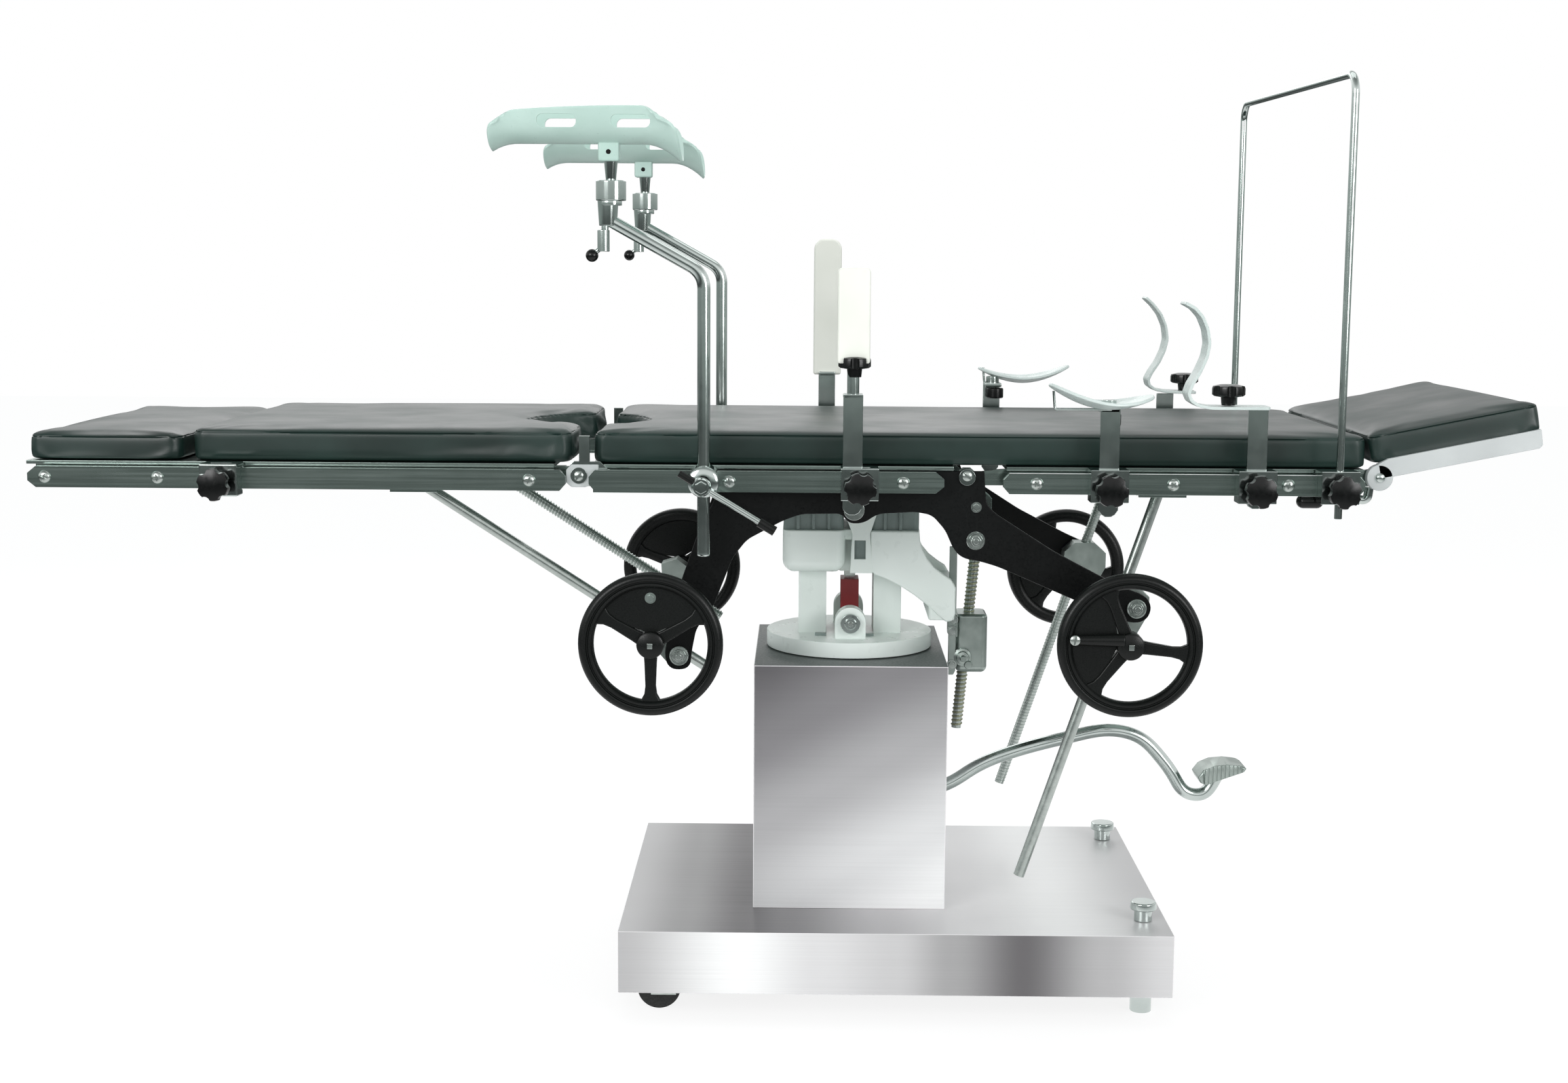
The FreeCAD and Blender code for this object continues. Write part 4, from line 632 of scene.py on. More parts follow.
small = soften(cylinder("Y", 5.4, -4.2, 0, 0, 0, sides=6), 0.6)
collar = lathe([(0, -1.0), (7.2, -1.0), (7.6, 0), (0, 0)], (0, 0), 24)
blanks["small_nut"] = joined("small_nut_blank", [small, collar])
slotted = lathe([(0, -3.4), (5.2, -3.2), (6.6, -2.0), (6.9, 0), (0, 0)], (0, 0), 28)
blanks["slotted"] = smooth(minus(slotted, block((-8, 8), (-5, -2.2), (-0.9, 0.9))), 40)
print("fastener blanks", len(blanks))


def fasten(name, kind, places, body, material=bright_steel, slot="machined_steel"):
    """Copy a fastener to places of (x, y, z, turn), facing away from the middle of the table."""
    items = []
    for x, y, z, turn in places:
        twist = Matrix.Rotation(math.radians(turn), 4, "Y")
        items.append(copy_of(blanks[kind], name, (x, -abs(y), z), twist, mirrored=y > 0))
    return dress(joined(name, items), material, body, slot)


# %% Screws of the side rails
RAIL_SCREWS = {
    "leg": ((-974, -824, -331), (-974, -824, -331)), "frame": ((-210, -66, 164), (-210, -66, 164)),
    "back": ((340, 520, 671), (375, 520, 757)),
}
for body, rows in RAIL_SCREWS.items():
    places = [(x, way * 272, 745, (x * 7) % 90) for way, row in zip((-1, 1), rows) for x in row if x != -210]
    fasten("rail_screws_" + body, "phillips", places, body)
print("rail screws placed")

# %% [markdown]
# ## Handwheels
# The four handwheels are black enamelled castings. The rim is spun from a profile with the
# groove that the founder leaves for the fingers, the spokes swell into hub and rim, and one
# third of each wheel is filled by a thin web.

# %% Handwheel castings


def spoke(angle):
    """Spoke outline from hub to rim, with flared ends."""
    turn = Matrix.Rotation(math.radians(-angle), 4, "Y")
    outline = [(12, -9), (24, -8), (55, -6.8), (66, -8.2), (73, -12), (77, -16), (77, 16), (73, 12), (66, 8.2),
               (55, 6.8), (24, 8), (12, 9)]
    piece = soften(plate(outline, -6, 6), 2.6, 3)
    piece.data.transform(turn)
    return piece


def handwheel(name, spokes, web):
    rim = lathe([(94.5, -2), (93.4, -6.5), (90.2, -9.8), (86.6, -10.8), (84.2, -10.0), (83.2, -8.0), (82.0, -7.9),
                 (80.8, -9.3), (78.2, -9.6), (75.4, -7.2), (74.2, -3), (74.2, 3), (75.4, 7.2), (78.2, 9.6),
                 (82.4, 10.2), (88, 10.4), (92.4, 7.4), (94.3, 3)], (0, 0), 96)
    hub = lathe([(0, -14.5), (14.5, -14.5), (17.2, -12.8), (18, -10), (18, 10), (16.5, 13), (0, 15)], (0, 0), 48)
    fan = [(14 * math.cos(math.radians(web + 60)), 14 * math.sin(math.radians(web + 60)))]
    turns = [math.radians(web + n * 6) for n in range(21)]
    fan += [(77 * math.cos(turn), 77 * math.sin(turn)) for turn in turns]
    return joined(name, [rim, hub, smooth(plate(fan, -3, 3))] + [spoke(angle) for angle in spokes])


WHEELS = {
    "leg_near": (-165, -345, 540, (30, 150, 270), 30), "leg_far": (-165, 345, 540, (40, 160, 280), 40),
    "back_near": (457, -345, 543, (-8, 112, 232), 112), "back_far": (457, 345, 543, (-8, 112, 232), 112),
}
for section in ("leg", "back"):
    castings, steels, nuts = [], [], []
    for side in SIDES:
        x, y, z, spokes, web = WHEELS[f"{section}_{side}"]
        wheel = handwheel(f"{section}_wheel_{side}", spokes, web)
        castings.append(copy_of(wheel, wheel.name, (x, -345, z), mirrored=y > 0))
        bpy.data.objects.remove(wheel)
        steels.append(cylinder("Y", 8, y * 0.63, y * 0.97, x, z))
        steels.append(soften(block((x - 3.6, x + 3.6), (y * 1.0, y * 1.052), (z - 3.6, z + 3.6)), 0.8))
        middle = math.radians(web + 60)
        if (section, side) != ("back", "near"):
            nuts.append((x + 61 * math.cos(middle), y * 1.009, z + 61 * math.sin(middle), 10))
    wheels = dress(joined(section + "_handwheel_castings", castings), black_casting, section + "_wheels",
                   "cast_black", section + "_handwheels")
    dress(joined(section + "_wheel_shafts", steels), bright_steel, section + "_wheels", "machined_steel")
    fasten(section + "_web_nuts", "small_nut", nuts, section + "_wheels", zinc)
    print(section, "wheels", len(wheels.data.polygons), "faces")

# %% [markdown]
# The near back wheel has a crank handle that folds flat into the web. It is a tapered grip,
# thick near the hub, on a slotted pivot screw near the rim.

# %% Folding crank handle
grip = cylinder("X", 9.2, 457 - 76, 457 - 8, -353, 551, sides=28, top=6.4)
grip.data.transform(turn_at(415, 551, 180))
dress(joined("folding_crank", [soften(grip, 2.0, 3)]), black_casting, "back_wheels", "cast_black")
fasten("crank_screw", "slotted", [(384, -360, 552, 100)], "back_wheels")

# %% [markdown]
# ## Drive screws
# The far rods are cut with a coarse thread, and so is the tilt screw. The Screw modifier sweeps
# one tooth round the rod, which is how a lathe cuts it, and leaves the rod itself in place as
# the thread's core.

# %% Threads


def thread(name, start, end, core, pitch=5.0, rise=1.3):
    """Helical ridge round a rod from start to end."""
    line = Vector(end) - Vector(start)
    turns = int(line.length / pitch)
    tooth = mesh_piece(name, [(core - 0.4, 0, 0), (core - 0.3, 0, pitch * 0.2), (core + rise, 0, pitch * 0.38),
                              (core + rise, 0, pitch * 0.62), (core - 0.3, 0, pitch * 0.8), (core - 0.4, 0, pitch)],
                       [(0, 1), (1, 2), (2, 3), (3, 4), (4, 5)])
    modify(tooth, "SCREW", angle=math.tau, screw_offset=pitch * MM, iterations=turns, steps=14, render_steps=14,
           use_merge_vertices=True, merge_threshold=0.00002)
    tooth.data.transform(Matrix.Translation(Vector(start) * MM) @ line.to_track_quat("Z", "Y").to_matrix().to_4x4())
    return smooth(tooth, 60)


def on_line(first, second, distance):
    """Point at a distance from first towards second."""
    return Vector(first) + (Vector(second) - Vector(first)).normalized() * distance


LEG_FOOT, LEG_EYE = (-134, 506), (-494, 738)
for side, way in SIDES.items():
    y = way * 205
    foot, eye = (LEG_FOOT[0], y, LEG_FOOT[1]), (LEG_EYE[0], y, LEG_EYE[1])
    low = on_line(foot, eye, -45)
    high = on_line(foot, eye, 395)
    if side == "far":
        dress(thread("leg_thread_far", low, high, 7), zinc, "leg_screws", "machined_steel")
reach = math.hypot(35, 163)
angle = math.atan2(163, 35) - math.asin(18 / reach)
BACK_FOOT = (480 + 18 * math.cos(angle + math.pi / 2), 575 + 18 * math.sin(angle + math.pi / 2))
foot = Vector((BACK_FOOT[0], 205, BACK_FOOT[1]))
run = Vector((math.cos(angle), 0, math.sin(angle)))
dress(thread("back_thread_far", foot - run * 380, foot + run * 130, 6.2), zinc, "back_screws", "machined_steel")
TILT_TOP, TILT_NUT = Vector((288, 0, 680)), Vector((272, 0, 500))
slide = (TILT_TOP - TILT_NUT).normalized()
dress(thread("tilt_thread", TILT_NUT - slide * 146, TILT_TOP - slide * 12, 7, 6.0), oiled_steel, "tilt_screw",
      "machined_steel")
print("threads cut")

# %% [markdown]
# ## Base and column
# The base cover and the column shroud are folded sheet. Their shape in the frame is right,
# so a merged copy gets a 2 mm rolled edge, painted near-white as a highlight, and each flat
# face takes the painted bands of reflected light and shade that run its own way. The lid of
# the column is dull grey.

# %% Finish the shrouds by face


def by_face(piece, finishes):
    """Give faces one of several materials by a test on their centre in mm and their normal."""
    piece.data.materials.clear()
    for material, test in finishes:
        piece.data.materials.append(material)
    for face in piece.data.polygons:
        for n, (material, test) in enumerate(finishes):
            if test(face.center / MM, face.normal):
                face.material_index = n
    return piece


# Every face starts with the painted edge highlight. The flat faces then take the painted reflection bands.
base = by_face(from_frame("base_cover", 2.4, 3), [
    (painted_edge_highlight, lambda c, n: True), (base_front_painted_reflection, lambda c, n: abs(n.y) > 0.98),
    (column_painted_reflection, lambda c, n: abs(n.x) > 0.98), (base_top_painted_reflection, lambda c, n: n.z > 0.98)])
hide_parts("base_cover")
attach(base, "base")
# Painted highlight on the rounded edges, painted reflection bands on the sides.
shroud = by_face(from_frame("column_cover", 3.0, 3), [
    (painted_edge_highlight, lambda c, n: True), (column_painted_reflection, lambda c, n: abs(n.y) > 0.98 or abs(n.x) > 0.98),
    (column_lid, lambda c, n: abs(n.z) > 0.98)])
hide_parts("column_cover")
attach(shroud, BODY_OF["column_cover"])
print("shrouds", len(base.data.polygons), len(shroud.data.polygons))

# %% [markdown]
# The two levelling screws end in turned steel caps on top of the base: a wide flat head over
# a narrower neck. The foot below is a plain round pad.

# %% Levelling feet
for side, way in SIDES.items():
    y = way * 205
    parts = [soften(cylinder("Z", 15, 0, 40, 508, y, sides=40), 1.2), cylinder("Z", 8, 39, 135, 508, y),
             soften(cylinder("Z", 12.5, 130, 149, 508, y, sides=40), 1.0),
             soften(cylinder("Z", 18.6, 146, 157, 508, y, sides=56, top=17.4), 2.0, 3)]
    dress(joined("levelling_screw_" + side, parts), chrome, BODY_OF["levelling_foot_" + side], "chrome",
          "levelling_foot_" + side)
print("levelling feet done")

# %% [markdown]
# ## Pump pedal
# The pedal bar is one bent steel tube, so it follows a free smooth curve rather than straight
# runs. The tread is a small aluminium casting with a rounded top and a milled side that
# grips the shoe.

# %% Pedal
route = [(205, 258), (245, 262), (280, 292), (322, 312), (380, 330), (430, 342), (480, 356), (530, 346), (556, 318),
         (580, 288), (592, 262), (612, 254), (632, 258), (640, 276), (644, 284)]
bar = tube("pedal_bar", 9.4, [(x, 0, z) for x, z in route], 0, 10)
eye = soften(cylinder("Y", 12, -10.5, 10.5, 205, 258), 0.8)
pin = cylinder("Y", 5, -19, 19, 205, 258)
dress(joined("pedal_tube", [bar, eye, pin]), chrome, "pedal", "chrome", "pedal_lever")
tread = plate([(612, 288), (616, 280), (624, 277), (680, 297), (683, 302), (676, 306), (656, 308), (636, 306),
               (620, 299)], -27, 27)
choose(tread, "EDGE", lambda a, b: abs(a.y - b.y) < 0.1 and (max(a.x, b.x) > 681 or min(a.x, b.x) < 613))
bpy.ops.mesh.bevel(offset=3 * MM, segments=3, affect="EDGES")
soften(tread, 1.6)
cutters = [block((620 + 6 * n, 622.4 + 6 * n), (-28, -25.6), (270, 320)) for n in range(10)]
tread = smooth(minus(tread, *cutters), 40)
dress(joined("pedal_tread_casting", [tread]), zinc, "pedal", "machined_steel", "pedal_tread")
print("pedal done")

# %% [markdown]
# ## Pedestal
# The yoke and the saddle are white enamelled castings with generous corner radii, and the
# yoke stands on a round flange. The saddle is put together from the forms of the casting: a
# bucket over each yoke post, a swept arm that carries the gear housing, and a tall lug in the
# middle with a small window.

# %% Saddle casting


def cast_block(x, y, z, corner=10, belly=0, edge=2.0):
    """Block with round upright corners, a rolled lower edge and eased rims, as sand casting gives."""
    piece = block(x, y, z)
    choose(piece, "EDGE", lambda a, b: abs(a.z - b.z) > 1)
    bpy.ops.mesh.bevel(offset=corner * MM, segments=6, affect="EDGES")
    if belly:
        choose(piece, "EDGE", lambda a, b: max(a.z, b.z) < z[0] + 0.5)
        bpy.ops.mesh.bevel(offset=belly * MM, segments=5, affect="EDGES")
    return soften(piece, edge, 3, 45)


ARM = [(128, 655), (197, 655), (198, 642), (202, 628), (209, 615), (219, 603), (232, 593), (243, 586), (250, 574),
       (250, 536), (246, 526), (237, 524), (226, 533), (210, 548), (192, 562), (172, 575), (150, 586), (134, 592),
       (128, 598)]
TOWER = [(90, 724), (136, 724), (136, 678), (127, 650), (131, 594), (99, 594), (102, 650), (91, 678)]
parts = [cast_block((3, 92), (-75, 75), (594, 655), 15, 17), cast_block((126, 198), (-66, 66), (600, 655), 12, 8),
         cast_block((80, 130), (-60, 60), (640, 655), 3), cast_block((84, 116), (-28, 28), (590, 654), 4),
         cast_block((92, 108), (-8, 8), (579, 595), 2), cast_block((212, 249), (-70, 70), (526, 578), 5)]
for way in (-1, 1):
    low, high = sorted((way * 62, way * 75))
    parts.append(soften(plate(ARM, low, high), 3.2, 3, 40))
    low, high = sorted((way * 45, way * 74))
    tower = plate(TOWER, low, high)
    window = block((105, 121), (way * 66, way * 80), (614, 641))
    parts.append(soften(minus(tower, window), 2.2, 3, 35))
dress(joined("saddle", parts), white_enamel, "saddle", "white_enamel", "saddle_casting")
glass = [soften(block((104, 122), sorted((way * 64, way * 67)), (613, 642)), 0.5) for way in (-1, 1)]
dress(joined("saddle_windows", glass), grey_enamel, "saddle", "grey_enamel")
housings = [cast_block(x, (-66, 66), (653, 690), 8) for x in ((4, 90), (128, 197))]
for x in (22, 44, 66, 146, 168):
    housings += [soften(block((x, x + 5), sorted((way * 62, way * 70)), (655, 688)), 1.2) for way in (-1, 1)]
dress(joined("saddle_housing_castings", housings), grey_enamel, "saddle", "grey_enamel", "saddle_housings")
print("saddle done")

# %% [markdown]
# The yoke is one casting with the flange, so the frame's own solid gets rounder edges and its
# enamel. Hexagon nuts hold the ends of the tilt spindle.

# %% Yoke and tilt spindle
dress(from_frame("pedestal_yoke", 3.0, 3), white_enamel, BODY_OF["pedestal_yoke"], "white_enamel", "pedestal_yoke")
for way in (-1, 1):
    fasten("spindle_nut_%d" % (way > 0), "hex", [(100, way * 87, 524, 15)], "lateral_spindle")
clips = [soften(block((x, x + 16), (-62, -54), (500.5, 505)), 0.8) for x in (50, 118)]
dress(joined("yoke_stops", clips), grey_enamel, BODY_OF["pedestal_yoke"], "grey_enamel")

# %% [markdown]
# The tilt gear sits in a small rounded housing that hangs from the saddle's arm on a strap. A
# turned boss on its face carries the drive pin.

# %% Tilt gear housing
housing = cast_block((254, 300), (-30, 30), (442, 528), 9, 9, 5.0)
ear = cast_block((245, 258), (-29, 29), (494, 527), 3)
boss = lathe([(0, -50), (3.6, -50), (4.4, -49), (4.4, -42), (8.6, -41), (9.4, -39), (9.4, -36), (12.6, -35),
              (13, -33), (13, -29), (0, -29)], (264, 466), 36)
lower = lathe([(0, -44), (5, -43.5), (6, -41), (6, -29), (0, -29)], (272, 456), 28)
strap = soften(plate([(243, 440), (251, 440), (254, 446), (254, 628), (243, 628)], -35, -31), 1.0)
dress(joined("tilt_gear_case", [housing, ear, boss, lower, strap]), zinc, "saddle", "machined_steel",
      "tilt_gear_housing")
fasten("strap_screws", "small_nut", [(248.5, -35, 455, 0), (248.5, -35, 505, 0), (250, -31, 520, 0)], "saddle")
print("tilt gear done")

# %% [markdown]
# ## Side plates
# Two stoved black plates carry the tilting table top. Their outline is cut with sweeping
# curves, so each corner of the drawn outline is rounded with a wide bevel before the edges
# are eased. Bolts with big washers show where the drives and shafts pass through.

# %% Cut the side plates
SHEET = [(-83, 758), (-83, 726), (-110, 669), (-131, 609), (-148, 540), (-154, 506), (-149, 489), (-134, 485),
         (-119, 490), (-117, 512), (-111, 542), (-88, 573), (-62, 640), (-43, 664), (5, 690), (30, 699), (84, 700),
         (92, 687), (112, 687), (132, 700), (182, 703), (204, 699), (222, 679), (234, 652), (246, 641), (269, 637),
         (293, 630), (398, 585), (472, 555), (490, 556), (500, 568), (499, 584), (488, 594), (470, 600), (441, 613),
         (368, 651), (291, 700), (276, 714), (273, 758)]
sheets = []
for way in (-1, 1):
    sheet = plate(SHEET, *sorted((way * 236, way * 244)))
    choose(sheet, "EDGE", lambda a, b: abs(a.y - b.y) > 1 and a.z < 750)
    bpy.ops.mesh.bevel(offset=12 * MM, segments=4, affect="EDGES", clamp_overlap=True)
    sheets.append(soften(sheet, 1.0, 2, 60))
dress(joined("side_sheets", sheets), black_paint, "frame", "black_paint", "side_plates")
for way in (-1, 1):
    side = "near" if way < 0 else "far"
    fasten("leg_drive_bolt_" + side, "hex", [(-134, way * 249, 506, 12)], BODY_OF["leg_gearboxes"])
    fasten("back_drive_bolt_" + side, "hex", [(480, way * 249, 575, 40)], BODY_OF["back_gearboxes"])
    fasten("plate_bolt_" + side, "hex", [(263, way * 244, 665, 25)], "frame")
    fasten("plate_nut_" + side, "small_nut", [(263, way * 244, 710, 0)], "frame")
    fasten("hinge_screws_" + side, "slotted", [(250, way * 248, 752, 40), (-266, way * 262, 750, 125)], "frame")
print("side plates done")

# %% [markdown]
# ## Leg crutches
# Each leg crutch is a trough of white moulded plastic on a chromed post. The trough is a half
# tube whose ends open out like a bell, so that no edge presses on the calf, with two long
# slots in each wall for a strap. A tube is cut down, its ends are drawn outwards point by
# point, and then it is given its wall.

# %% Crutch shells
CRUTCH_OUT = 287
CRUTCH_CLAMP = (-99, 747)


def shell(side):
    y, level = SIDES[side] * CRUTCH_OUT, 1232.5
    trough = cylinder("X", 49, -372, -134, y, level, sides=64)
    choose(trough, "FACE", lambda centre, normal: abs(normal.x) > 0.9)
    bpy.ops.mesh.delete(type="FACE")
    choose(trough, "FACE", lambda centre, normal: True)
    bpy.ops.mesh.bisect(plane_co=(0, 0, (level - 6) * MM), plane_no=(0, 0, 1), clear_outer=True)
    for step in range(1, 34):
        choose(trough, "FACE", lambda centre, normal: True)
        bpy.ops.mesh.bisect(plane_co=((-372 + step * 7) * MM, 0, 0), plane_no=(1, 0, 0))

    def bell(x, py, z):
        """Open the ends outwards and round the corners of the rim."""
        across, down = (py - y) / 49, (level - z) / 49
        rim = max(0.0, min(1.0, 1 - (z - (level - 49)) / 43))
        right, left = max(0.0, (x + 176) / 42), max(0.0, (-338 - x) / 34)
        grow = 1 + 0.48 * right ** 2 * (0.35 + 0.65 * rim) + 0.20 * left ** 2.2 * (0.3 + 0.7 * rim)
        high = 1 - rim
        shift = -22 * right * high ** 4 + 14 * left * high ** 4 + 7 * right * rim
        drop = -16 * right ** 2 * high ** 3 - 12 * left ** 2 * high ** 3
        arch = high * (1.5 - 6 * ((x + 190) / 150) ** 2)
        return x + shift, y + across * 49 * grow, level - down * 49 * grow + drop + arch

    reshape(trough, bell)
    outward(trough)
    modify(trough, "SOLIDIFY", thickness=3.6 * MM, offset=0.0)
    outward(trough)
    for x in (-284, -190):
        slot = soften(block((x - 25, x + 25), (y - 90, y + 90), (1201, 1217)), 7.4, 5)
        minus(trough, slot)
    return smooth(modify(trough, "BEVEL", width=0.9 * MM, segments=2, limit_method="ANGLE",
                         angle_limit=math.radians(50)), 50)


for side, way in SIDES.items():
    y = way * CRUTCH_OUT
    body = "shell_" + side
    dress(joined("crutch_trough_" + side, [shell(side)]), shell_plastic, body, "white_plastic",
          "crutch_shell_" + side)
    socket = soften(block((-234.5, -207.5), (y - 13, y + 13), (1160, 1187)), 3, 3)
    dress(joined("crutch_socket_" + side, [socket]), shell_plastic, body, "white_plastic")
    pin = soften(cylinder("Y", 3.2, y - 13.6, y + 13.6, -221, 1172, sides=20), 0.5)
    dress(joined("crutch_socket_pin_" + side, [pin]), phenolic, body, "black_plastic")
print("crutch troughs done")

# %% [markdown]
# The post is bright tube, bent once towards the trough. On top of it sit a knurled cup, a
# tapered barrel and a small clamping lever with a black ball, all turned parts.

# %% Crutch posts and clamp rings
for side, way in SIDES.items():
    y = way * CRUTCH_OUT
    turned = [tube("crutch_tube", 8.5, [(-99, y, 653), (-99, y, 1018), (-220, y, 1085)], 34, 10),
              soften(cylinder("Z", 8.45, 647, 662, -99, y, sides=40), 3.4, 4)]
    cup = soften(cylinder("Z", 19.5, 1110, 1136, -219, y, sides=48), 1.6, 3)
    barrel = soften(cylinder("Z", 11.6, 1078, 1111, -223, y, sides=40, top=13.6), 1.2)
    lip = soften(cylinder("Z", 15.2, 1104, 1110.5, -220, y, sides=40), 1.0)
    stem = soften(cylinder("Z", 6.4, 1134, 1162, -219, y, sides=32, top=9.0), 0.6)
    neck = soften(cylinder("Z", 4.6, 1072, 1080, -227, y, sides=24), 0.5)
    foot = soften(cylinder("Z", 8, 1045, 1073, -229, y, sides=32), 1.0)
    arm = tube("lever", 3.2, [(-229, y, 1052), (-241, y, 1043)], 2, 4)
    turned += [cup, barrel, lip, stem, neck, foot, arm]
    dress(joined("crutch_post_turnings_" + side, turned), chrome, "post_" + side, "chrome", "crutch_post_" + side)
    bpy.ops.mesh.primitive_uv_sphere_add(segments=24, ring_count=16, radius=8.4 * MM,
                                         location=(-0.244, y * MM, 1.040))
    ball = modify(smooth(settle(bpy.context.object), 60), "SUBSURF", levels=1)
    dress(joined("crutch_ball_" + side, [ball]), phenolic, "post_" + side, "black_plastic")

# %% [markdown]
# The tommy bar that locks the post lies across a round clamp on the rail. The clamp is a
# ring with a turned boss, and the bar ends in a barrel grip.

# %% Tommy bars
angle = math.radians(-31)
for side, way in SIDES.items():
    ring = lathe([(9, -298), (17, -298), (20, -300.5), (20, -305), (17.5, -307), (9, -307)], CRUTCH_CLAMP, 48)
    boss = lathe([(0, -319), (10.5, -319), (12.6, -316.5), (12.6, -307), (0, -306)], (-101, 742), 40)
    hexagon = soften(cylinder("Y", 8.5, -323, -318, -101, 742, sides=6), 0.8)
    start = Vector((-101, -311, 742))
    run = Vector((math.cos(angle), 0, math.sin(angle)))
    bar = tube("tommy", 4.2, [start - run * 6, start + run * 92], 2, 8)
    sleeve = tube("sleeve", 6.6, [start + run * 88, start + run * 112], 2, 8)
    short = tube("short_end", 4.6, [start - run * 12, start - run * 34], 2, 8)
    metal, dark = [ring, boss, hexagon, bar], [sleeve, short]
    if way > 0:
        metal, dark = [[far_side(item) for item in group] for group in (metal, dark)]
    dress(joined("tommy_bar_" + side, metal), chrome, "handle_" + side, "chrome", "crutch_handle_" + side)
    dress(joined("tommy_grip_" + side, dark), black_casting, "handle_" + side, "cast_black")
print("tommy bars done")

# %% [markdown]
# ## Side braces, arm dishes and shoulder rests
# A brace is a padded board with a domed outline on a chromed stand. An arm dish is a thin
# shell that cradles the forearm: high at both ends, and curling down along its sides. A
# shoulder rest is one strip of plastic that runs out flat along the rail, turns up in a tight
# bend and leans over the pad.

# %% Accessory stands and brace boards


def stand(x, y, low, high, shelf=None):
    """Flat chromed bar with a round end below its rail clamp, and a shelf bent over at the top."""
    way = 1 if y > 0 else -1
    outline = [(x - 13, high), (x - 13, low + 9), (x - 9, low + 3), (x - 4, low), (x + 4, low), (x + 9, low + 3),
               (x + 13, low + 9), (x + 13, high)]
    bar = soften(plate(outline, *sorted((way * 278, way * 284))), 0.8, 2)
    parts = [bar]
    if shelf:
        parts.append(soften(block((x - 13, x + 13), sorted((way * shelf, way * 284)), (high - 6, high)), 1.6, 3))
    return parts


BRACES = {"near": (96.5, 902, 1026), "far": (67, 857, 1067)}
for side, (x, low, high) in BRACES.items():
    y = SIDES[side] * 270
    parts = stand(x, y, 703, 862, 254)
    parts.append(soften(cylinder("Z", 8, 860, low + 12, x, y, sides=32), 0.6))
    dress(joined("brace_stand_" + side, parts), chrome, "brace_" + side, "chrome", "side_brace_" + side)
    board = block((x - 21.5, x + 21.5), (y - 11.5, y + 11.5), (low, high))
    dome = 16 if side == "far" else 6
    choose(board, "EDGE", lambda a, b: abs(a.y - b.y) > 1 and a.z > low + 9)
    bpy.ops.mesh.bevel(offset=dome * MM, segments=6, affect="EDGES")
    soften(board, 3.4, 3)
    dress(joined("brace_board_" + side, [board]), cream_plastic, "brace_" + side, "white_plastic")

# %% [markdown]
# An arm dish is pressed from sheet. Here a round disc is divided finely and each of its points
# is lifted by its distance from the middle, and then the sheet gets its thickness.

# %% Arm dishes
DISHES = {"near": (433, 421, 12), "far": (326, 376, 0)}
for side, (x, middle, turn) in DISHES.items():
    way = SIDES[side]
    y = way * 283
    parts = stand(x, y, 703, 846, 248)
    parts.append(soften(cylinder("Z", 10, 845, 856, x, way * 264, sides=32), 0.8))
    dress(joined("dish_stand_" + side, parts), chrome, "dish_" + side, "chrome", "arm_dish_" + side)
    bpy.ops.mesh.primitive_circle_add(vertices=64, radius=1.0, fill_type="TRIFAN")
    disc = settle(bpy.context.object)
    choose(disc, "FACE", lambda centre, normal: True)
    bpy.ops.mesh.subdivide(number_cuts=7)
    bpy.ops.object.mode_set(mode="OBJECT")

    def cradle(px, py, pz):
        """Hammock 2 x 70 mm long and 2 x 40 mm deep, with its inner side raised."""
        u, v = px * MM, py * MM
        return 70 * u, 40 * v, 849 + 23 * abs(u) ** 1.9 + 2 * u * (-4 if side == "near" else 1) + 7 * v * v

    reshape(disc, cradle)
    outward(disc)
    modify(disc, "SOLIDIFY", thickness=4.2 * MM, offset=-1.0)
    disc.data.transform(Matrix.Translation((middle * MM, way * 0.283, 0))
                        @ Matrix.Rotation(math.radians(turn), 4, "Z"))
    outward(disc)
    dress(joined("dish_shell_" + side, [soften(disc, 1.2, 2, 50)]), dish_plastic, "dish_" + side, "white_plastic")
    wire = tube("dish_wire", 1.7, [(middle - 64, y - 8, 869), (middle - 62, y - 8, 845), (x, y - 8, 845)], 4, 4)
    dress(wire, chrome, "dish_" + side, "chrome")
    screw = soften(cylinder("Z", 13, 822, 838, x + 4, way * 262, sides=24), 2.0)
    dress(joined("dish_knob_" + side, [screw]), phenolic, "dish_" + side, "black_plastic")
print("dishes done")

# %% [markdown]
# A shoulder rest is drawn as a line of points seen from the side, pulled out to its width,
# smoothed, and given its thickness.

